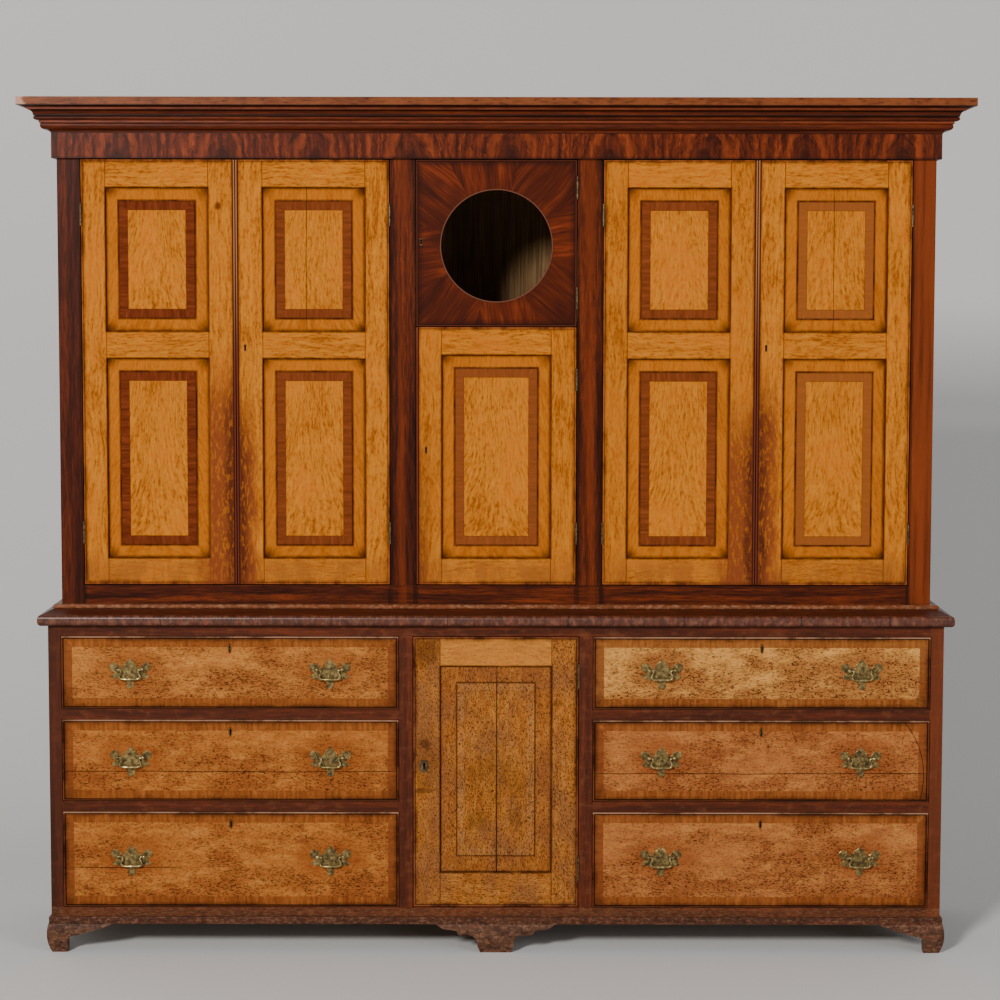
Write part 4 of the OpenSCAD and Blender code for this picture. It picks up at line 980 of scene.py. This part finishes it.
class CUPBOARD_OT_side_doors(bpy.types.Operator):
    """Finish the four side doors, their panels and hinges"""

    bl_idname = "cupboard.side_doors"
    bl_label = "Finish the Side Doors"

    def execute(self, context):
        colours = context.scene.cupboard_woods
        brass = old_brass("door brass")
        splits = {2: ((-0.4711, 1.56, 1.92),), 4: ((0.8365, 1.56, 1.92),)}
        tones = {1: 0.0, 2: 0.12, 3: 0.12, 4: 0.50}
        for n in SIDE_DOORS:
            low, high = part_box("door_%d_frame" % n)
            left, right, meets = HINGE_STILE, MEETING_STILE, high.x
            if n in (2, 4):
                left, right, meets = MEETING_STILE, HINGE_STILE, low.x
            top = high.z - TOP_RAIL
            middle = top - UPPER_PANEL
            rows = ((low.z + BOTTOM_RAIL, middle - CROSS_RAIL), (middle, top))
            start, reach = {1: (1.56, 0.085), 2: (1.46, 0.046), 3: (1.46, 0.080), 4: (1.52, 0.050)}[n]
            grime = [(meets, reach, start, start - 0.24, 1.0)]
            knots = [(-0.690, 1.872, 0.008, 0.011)] if n == 1 else []
            leaf = leaf_finish(
                "oak frame of door %d" % n, "door_%d_frame" % n, left, right, rows, colours,
                n * 3.3, grime, knots,
            )
            paint("door_%d_frame" % n, leaf)
            panels = panel_finish(
                "banded panels of door %d" % n, "door_%d_panels" % n, low.x + left, high.x - right,
                rows, colours, n * 5.7, tones[n], splits.get(n, ()),
            )
            paint("door_%d_panels" % n, panels)
            paint("door_%d_hinges" % n, brass)
        return {"FINISHED"}


class CUPBOARD_OT_centre_doors(bpy.types.Operator):
    """Finish the clock door, the middle door and the base door"""

    bl_idname = "cupboard.centre_doors"
    bl_label = "Finish the Centre Doors"

    def execute(self, context):
        colours = context.scene.cupboard_woods
        brass = old_brass("keyhole brass")
        paint("clock_door_board", sunburst_finish(colours))
        low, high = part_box("middle_door_frame")
        rows = ((low.z + BOTTOM_RAIL, high.z - TOP_RAIL),)
        paint("middle_door_frame", leaf_finish(
            "oak frame of the middle door", "middle_door_frame", MIDDLE_DOOR_STILE,
            MIDDLE_DOOR_STILE, rows, colours, 21.0, [(low.x, 0.034, 1.40, 1.00, 0.55)],
        ))
        paint("middle_door_panel", panel_finish(
            "banded panel of the middle door", "middle_door_panel", low.x + MIDDLE_DOOR_STILE,
            high.x - MIDDLE_DOOR_STILE, rows, colours, 24.0, 0.30,
        ))
        paint("base_door", base_door_finish(colours))
        for node in ("clock_door_brasses", "middle_door_brasses", "base_door_brasses"):
            paint(node, brass)
        return {"FINISHED"}


def base_door_finish(colours):
    """Frame and raised panel of the base door in one finish, more worn than the rest."""
    low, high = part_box("base_door")
    f = Finish("worn oak of the base door")
    x0, x1 = low.x + BASE_DOOR_STILE, high.x - BASE_DOOR_STILE
    z0, z1 = low.z + BASE_DOOR_BOTTOM, high.z - BASE_DOOR_TOP
    side_in, top_in, inside = rectangle(f, x0, x1, z0, z1)
    in_panel = f.rise(inside, -0.0003, 0.0003)
    frame_part = 1.0 - in_panel
    rail = f.between(f.x, x0, x1) * frame_part
    top = rail * f.rise(f.z, z1 - 0.1, z1 - 0.09)
    stile = (1.0 - rail) * (frame_part * f.rise(f.x, -0.001, 0.001, 31.0, 32.9))
    board = rail * 5.1 + in_panel * 2.9 + stile
    grain = f.shifted(f.either(rail, upright(f), lying(f)), board)
    plain, height = oak_figure(f, grain, colours, 1.3)
    mottled, curls = pollard_figure(f, f.stretched(grain, 1.25, 1.25, 1.25))
    f.colour = f.mix(0.85 - top * 0.75, plain, mottled)
    stained_part = 1.0 - top * 0.85
    dull = f.streaks(f.place, 9, 9, 6, detail=5, rough=0.68)
    f.lay(f.rise(dull, 0.38, 0.64, 0.15, 0.7) * stained_part, shade(120, 76, 44))
    f.lay(top * 0.25, shade(192, 136, 78))
    slope = f.fall(inside, 0.0415, 0.0425) * in_panel
    f.lay(slope * 0.3, shade(126, 64, 28))
    front = f.fall(f.y, low.y + 0.012, low.y + 0.0125)
    haze = f.between(inside, 0.0425, 0.062, 0.0012) * (in_panel * front)
    cross = f.shifted(f.either(f.rise(top_in - side_in, 0, 0.0003), upright(f), lying(f)), 3.0)
    hazy = f.streaks(cross, 60, 60, 10, detail=3)
    f.lay(haze * f.rise(hazy, 0.35, 0.65, 0.15, 0.45), shade(150, 104, 60))
    edges = f.line(inside, 0.0625, 0.002) * (front * 0.22)
    f.lay(edges, shade(96, 50, 20))
    edge = rectangle(f, low.x, high.x, low.z, high.z)[2]
    unevenness = f.streaks(f.place, 24, 24, 16, detail=5, rough=0.65)
    rim = f.fall(edge, 0.004, 0.016) * f.rise(unevenness, 0.34, 0.62, 0.2, 0.85)
    # Painted shade in the groove round the panel and along the step of its raised field
    groove = f.fall(abs(inside), 0.0008, 0.005)
    rim = f.most(rim, groove * f.rise(unevenness, 0.3, 0.6, 0.5, 0.9))
    rim = f.most(rim, f.line(inside, 0.0415, 0.003) * (front * 0.7))
    joint = f.most(f.line(f.x, x0, 0.0016), f.line(f.x, x1, 0.0016))
    rim = f.most(rim, joint * 0.7)
    for cx, cz, wide, tall, strength in (
        (-0.19, 0.77, 0.05, 0.05, 0.55), (-0.176, 0.531, 0.016, 0.014, 0.7),
        (-0.18, 0.414, 0.034, 0.008, 0.6), (0.155, 0.636, 0.02, 0.012, 0.45),
        (-0.176, 0.48, 0.04, 0.075, 0.3), (-0.046, 0.335, 0.036, 0.03, 0.4), (0.048, 0.34, 0.03, 0.03, 0.3),
        (0.0, 0.45, 0.09, 0.07, 0.28),
    ):
        away = ellipse(f, cx, cz, wide, tall) + (unevenness - 0.5) * 3.5
        rim = f.most(rim, f.fall(away, 0.0, 1.5) * strength)
    f.lay(curls * (1.0 - top * 0.65), shade(60, 26, 12))
    f.lay(rim, shade(56, 26, 10))
    waver = f.x + (f.streaks(f.place, 1, 1, 9) - 0.5) * 0.004
    gap = f.rise(f.z, z0, z1, 0.003, 0.0016)
    crack = f.fall(f.away(waver, 0.0021), 0.0006, gap) * in_panel
    f.lay(crack * 0.9, colours.grime)
    bead = beaded(f, edge)
    f.lay(bead, f.mix(f.rise(unevenness, 0.4, 0.65), shade(122, 66, 38), shade(66, 30, 16)))
    # Painted shade in the groove beside the bead
    f.lay(f.line(edge, QUIRK, 0.0012) * 0.85, colours.grime)
    return f.finish(height, 0.0004)


class CUPBOARD_OT_drawers(bpy.types.Operator):
    """Finish the six drawers"""

    bl_idname = "cupboard.drawers"
    bl_label = "Finish the Drawers"

    def execute(self, context):
        colours = context.scene.cupboard_woods
        splits = {
            2: (("level", 0.4611, -1.08, -0.25),), 3: (("level", 0.2166, -1.06, -0.80),),
            5: (("level", 0.4578, 0.25, 1.075), ("curved", 0.86, 0.452, 0.213, 1.008)),
        }
        tints = {
            1: shade(182, 122, 66), 4: shade(236, 180, 100), 5: shade(158, 98, 66),
            6: shade(158, 100, 66),
        }
        for n in DRAWERS:
            handles = [pivot("bail_%d_%s" % (n, hand)) for hand in HANDS]
            tint = tints.get(n, shade(156, 92, 48))
            paint("drawer_%d_box" % n, drawer_finish(
                "pollard oak of drawer %d" % n, "drawer_%d_box" % n, colours, 40 + n * 2.9,
                handles, tint, splits.get(n, ()),
            ))
        return {"FINISHED"}


class CUPBOARD_OT_handles(bpy.types.Operator):
    """Make the back plates, posts, nuts and keyhole linings of the drawers"""

    bl_idname = "cupboard.handles"
    bl_label = "Make the Handle Plates"

    def execute(self, context):
        sizes = context.scene.cupboard_brass
        brass = brass_finish("plate brass", shade(56, 44, 24), shade(114, 93, 51), shade(164, 140, 86))
        plate = handle_plate(sizes.plate_thickness)
        post = turned_post(0.022, 0.013)
        parts = [plate]
        for side in (-1, 1):
            parts.append(copied(post, "post", Vector((side * POST_SPREAD, 0, POST_RISE))))
        rubbed = brass_finish(
            "rubbed post brass", shade(70, 56, 32), shade(136, 114, 68), shade(206, 184, 130), 0.4, 0.22
        )
        for part in parts:
            in_material(part, brass if part is plate else rubbed)
        handle = joined(parts)
        bpy.data.objects.remove(post)
        for n in DRAWERS:
            low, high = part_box("drawer_%d_brasses" % n)
            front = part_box("drawer_%d_box" % n)[0].y + FRONT_BEHIND_BEAD
            parts = []
            for hand in HANDS:
                x, _, z = pivot("bail_%d_%s" % (n, hand))
                parts.append(copied(handle, "half", Vector((x, front, z - POST_RISE))))
            parts.append(self.keyhole((low.x + high.x) / 2, front, high.z, brass))
            brasses = joined(parts)
            brasses.name = brasses.data.name = "handle_plates_%d" % n
            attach(brasses, "drawer_%d" % n)
            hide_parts("drawer_%d_brasses" % n)
        bpy.data.objects.remove(handle)
        return {"FINISHED"}

    def keyhole(self, x, front, top, brass):
        """A thin lining round the keyhole, which rises to the given height."""
        r = KEYHOLE_RADIUS
        foot = 0.72 * r
        start = math.degrees(math.asin(0.72))
        turns = [180 - start - t * (360 - 2 * start) / 16 for t in range(17)]
        outline = [(math.sin(math.radians(t)) * r, math.cos(math.radians(t)) * r - r) for t in turns]
        outline += [(-foot, -5 * r), (foot, -5 * r)]
        lining = outlined([(x + px, front - 0.0002, top + pz) for px, pz in outline])
        open_mesh()
        bpy.ops.mesh.extrude_region_move(TRANSFORM_OT_translate={"value": (0, 0.0020, 0)})
        close_mesh()
        wall = lining.modifiers.new("wall", "SOLIDIFY")
        wall.thickness = 0.0008
        wall.offset = -1
        bpy.ops.object.modifier_apply(modifier="wall")
        lining.data.materials.append(brass)
        return lining


class CUPBOARD_OT_bails(bpy.types.Operator):
    """Make the twelve swan-neck bails"""

    bl_idname = "cupboard.bails"
    bl_label = "Make the Bails"

    def execute(self, context):
        radius = context.scene.cupboard_brass.bail_radius
        brass = brass_finish(
            "rubbed bail brass", shade(92, 76, 42), shade(150, 128, 78), shade(214, 192, 136), 0.34, 0.2
        )
        half = (
            (34.2, 0, 0.86), (30.0, 0, 0.86), (25.6, -0.2, 0.95), (22.6, -1.2, 1.0), (21.5, -4.2, 1.0),
            (22.2, -8.6, 1.0), (24.8, -12.4, 1.0), (26.2, -16.2, 1.02), (25.4, -20.2, 1.05),
            (22.4, -23.2, 1.08), (17.0, -24.3, 1.15), (8.0, -24.3, 1.36), (0.0, -24.3, 1.45),
        )
        points = list(half) + [(-x, z, r) for x, z, r in reversed(half[:-1])]
        nothing_selected()
        bpy.ops.curve.primitive_nurbs_path_add()
        path = context.object
        spline = path.data.splines[0]
        spline.points.add(len(points) - len(spline.points))
        for point, (x, z, r) in zip(spline.points, points):
            point.co = (x / 1000, 0, z / 1000, 1)
            point.radius = r
        spline.use_endpoint_u = True
        spline.order_u = 3
        spline.resolution_u = 6
        path.data.bevel_depth = radius
        path.data.bevel_resolution = 4
        path.data.use_fill_caps = True
        bpy.ops.object.convert(target="MESH")
        bail = context.object
        at_origin(bail)
        open_mesh()
        bpy.ops.mesh.remove_doubles(threshold=0.00001)
        close_mesh()
        bpy.ops.object.shade_smooth_by_angle(angle=math.radians(60))
        in_material(bail, brass)
        for n in DRAWERS:
            for hand in HANDS:
                name = "bail_%d_%s" % (n, hand)
                made = copied(bail, "swan_" + name, Vector(pivot(name)))
                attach(made, name)
                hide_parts(name)
        bpy.data.objects.remove(bail)
        return {"FINISHED"}


class CUPBOARD_OT_stage(bpy.types.Operator):
    """Set the pale floor, the soft lamps and the camera"""

    bl_idname = "cupboard.stage"
    bl_label = "Set the Stage"

    def execute(self, context):
        light = context.scene.cupboard_stage
        self.floor()
        warm, cool = (1.0, 0.98, 0.95), (0.95, 0.97, 1.0)
        self.lamp("key", (-3.45, -8.9, 4.37), 1.1, 1.35, light.key_power, warm)
        self.lamp("fill", (4.4, -5.6, 2.4), 1.0, 3.0, light.fill_power, cool)
        self.world(context)
        self.camera(context)
        return {"FINISHED"}

    def floor(self):
        """A floor that curves up into a plain backdrop, which is clear when seen from behind."""
        nothing_selected()
        bpy.ops.mesh.primitive_plane_add(size=1, location=(0, 0, 0))
        floor = bpy.context.object
        floor.name = floor.data.name = "plain_floor"
        for vertex in floor.data.vertices:
            vertex.co = (vertex.co.x * FLOOR_WIDTH, FLOOR_FRONT if vertex.co.y < 0 else FLOOR_BACK, 0)
        self.select_edges(floor, lambda place: place.y > 3)
        bpy.ops.mesh.extrude_region_move(TRANSFORM_OT_translate={"value": (0, 0, BACKDROP_HEIGHT)})
        self.select_edges(floor, lambda place: place.y > 3 and place.z < 1)
        bpy.ops.mesh.bevel(offset=BACKDROP_CURVE, segments=24)
        bpy.ops.object.mode_set(mode="OBJECT")
        bpy.ops.object.shade_smooth()
        material = bpy.data.materials.new("pale paper")
        material.use_nodes = True
        shader = material.node_tree.nodes["Principled BSDF"]
        shader.inputs["Base Color"].default_value = shade(214, 213, 211)
        shader.inputs["Roughness"].default_value = 0.9
        shader.inputs["Specular IOR Level"].default_value = 0.1
        nodes, links = material.node_tree.nodes, material.node_tree.links
        side = nodes.new("ShaderNodeNewGeometry")
        clear = nodes.new("ShaderNodeBsdfTransparent")
        either = nodes.new("ShaderNodeMixShader")
        links.new(side.outputs["Backfacing"], either.inputs[0])
        links.new(shader.outputs[0], either.inputs[1])
        links.new(clear.outputs[0], either.inputs[2])
        links.new(either.outputs[0], nodes["Material Output"].inputs["Surface"])
        floor.data.materials.append(material)

    def select_edges(self, floor, test):
        """Selects the edges whose two ends both pass a test, and starts editing."""
        bpy.ops.object.mode_set(mode="EDIT")
        bpy.ops.mesh.select_mode(type="EDGE")
        bpy.ops.mesh.select_all(action="DESELECT")
        bpy.ops.object.mode_set(mode="OBJECT")
        for edge in floor.data.edges:
            edge.select = all(test(floor.data.vertices[v].co) for v in edge.vertices)
        bpy.ops.object.mode_set(mode="EDIT")

    def lamp(self, name, at, aim, size, power, colour):
        """A square lamp aimed at the given height on the cupboard's middle line."""
        nothing_selected()
        bpy.ops.object.light_add(type="AREA", location=at)
        lamp = bpy.context.object
        lamp.name = lamp.data.name = name + "_lamp"
        lamp.rotation_euler = (Vector((0, 0, aim)) - Vector(at)).to_track_quat("-Z", "Y").to_euler()
        lamp.data.size = size
        lamp.data.energy = power
        lamp.data.color = colour

    def world(self, context):
        world = bpy.data.worlds.new("soft room")
        context.scene.world = world
        world.use_nodes = True
        background = world.node_tree.nodes["Background"]
        background.inputs["Color"].default_value = (1.0, 1.0, 1.0, 1.0)
        background.inputs["Strength"].default_value = 0.30

    def camera(self, context):
        nothing_selected()
        bpy.ops.object.camera_add(location=CAMERA_PLACE)
        camera = context.object
        camera.name = camera.data.name = "front_camera"
        camera.data.sensor_width = 36.0
        camera.data.lens = CAMERA_LENS
        camera.data.clip_end = 60.0
        level = Euler((math.radians(90 - CAMERA_DIP), 0, 0)).to_matrix()
        roll = Matrix.Rotation(CAMERA_ROLL, 3, "Z")
        camera.rotation_euler = (level @ roll).to_euler()
        context.scene.camera = camera


class CUPBOARD_PT_panel(bpy.types.Panel):
    """Pieces, finishes and stage of the cupboard"""

    bl_idname = "CUPBOARD_PT_panel"
    bl_label = "Cupboard"
    bl_space_type = "VIEW_3D"
    bl_region_type = "UI"
    bl_category = "Cupboard"

    def draw(self, context):
        scene = context.scene
        for group in (scene.cupboard_woods, scene.cupboard_brass, scene.cupboard_stage):
            for key in group.__annotations__:
                self.layout.prop(group, key)
        for step in STEPS:
            self.layout.operator(step.bl_idname)


STEPS = (
    CUPBOARD_OT_case, CUPBOARD_OT_side_doors, CUPBOARD_OT_centre_doors, CUPBOARD_OT_drawers,
    CUPBOARD_OT_handles, CUPBOARD_OT_bails, CUPBOARD_OT_stage,
)
GROUPS = (WoodColours, BrassSizes, StageLight)


def register():
    for kind in GROUPS + STEPS + (CUPBOARD_PT_panel,):
        bpy.utils.register_class(kind)
    bpy.types.Scene.cupboard_woods = PointerProperty(type=WoodColours)
    bpy.types.Scene.cupboard_brass = PointerProperty(type=BrassSizes)
    bpy.types.Scene.cupboard_stage = PointerProperty(type=StageLight)


def unregister():
    for name in ("cupboard_woods", "cupboard_brass", "cupboard_stage"):
        delattr(bpy.types.Scene, name)
    for kind in reversed(GROUPS + STEPS + (CUPBOARD_PT_panel,)):
        bpy.utils.unregister_class(kind)


def main():
    register()
    bpy.ops.cupboard.case()
    bpy.ops.cupboard.side_doors()
    bpy.ops.cupboard.centre_doors()
    bpy.ops.cupboard.drawers()
    bpy.ops.cupboard.handles()
    bpy.ops.cupboard.bails()
    bpy.ops.cupboard.stage()


if __name__ == "__main__":
    main()
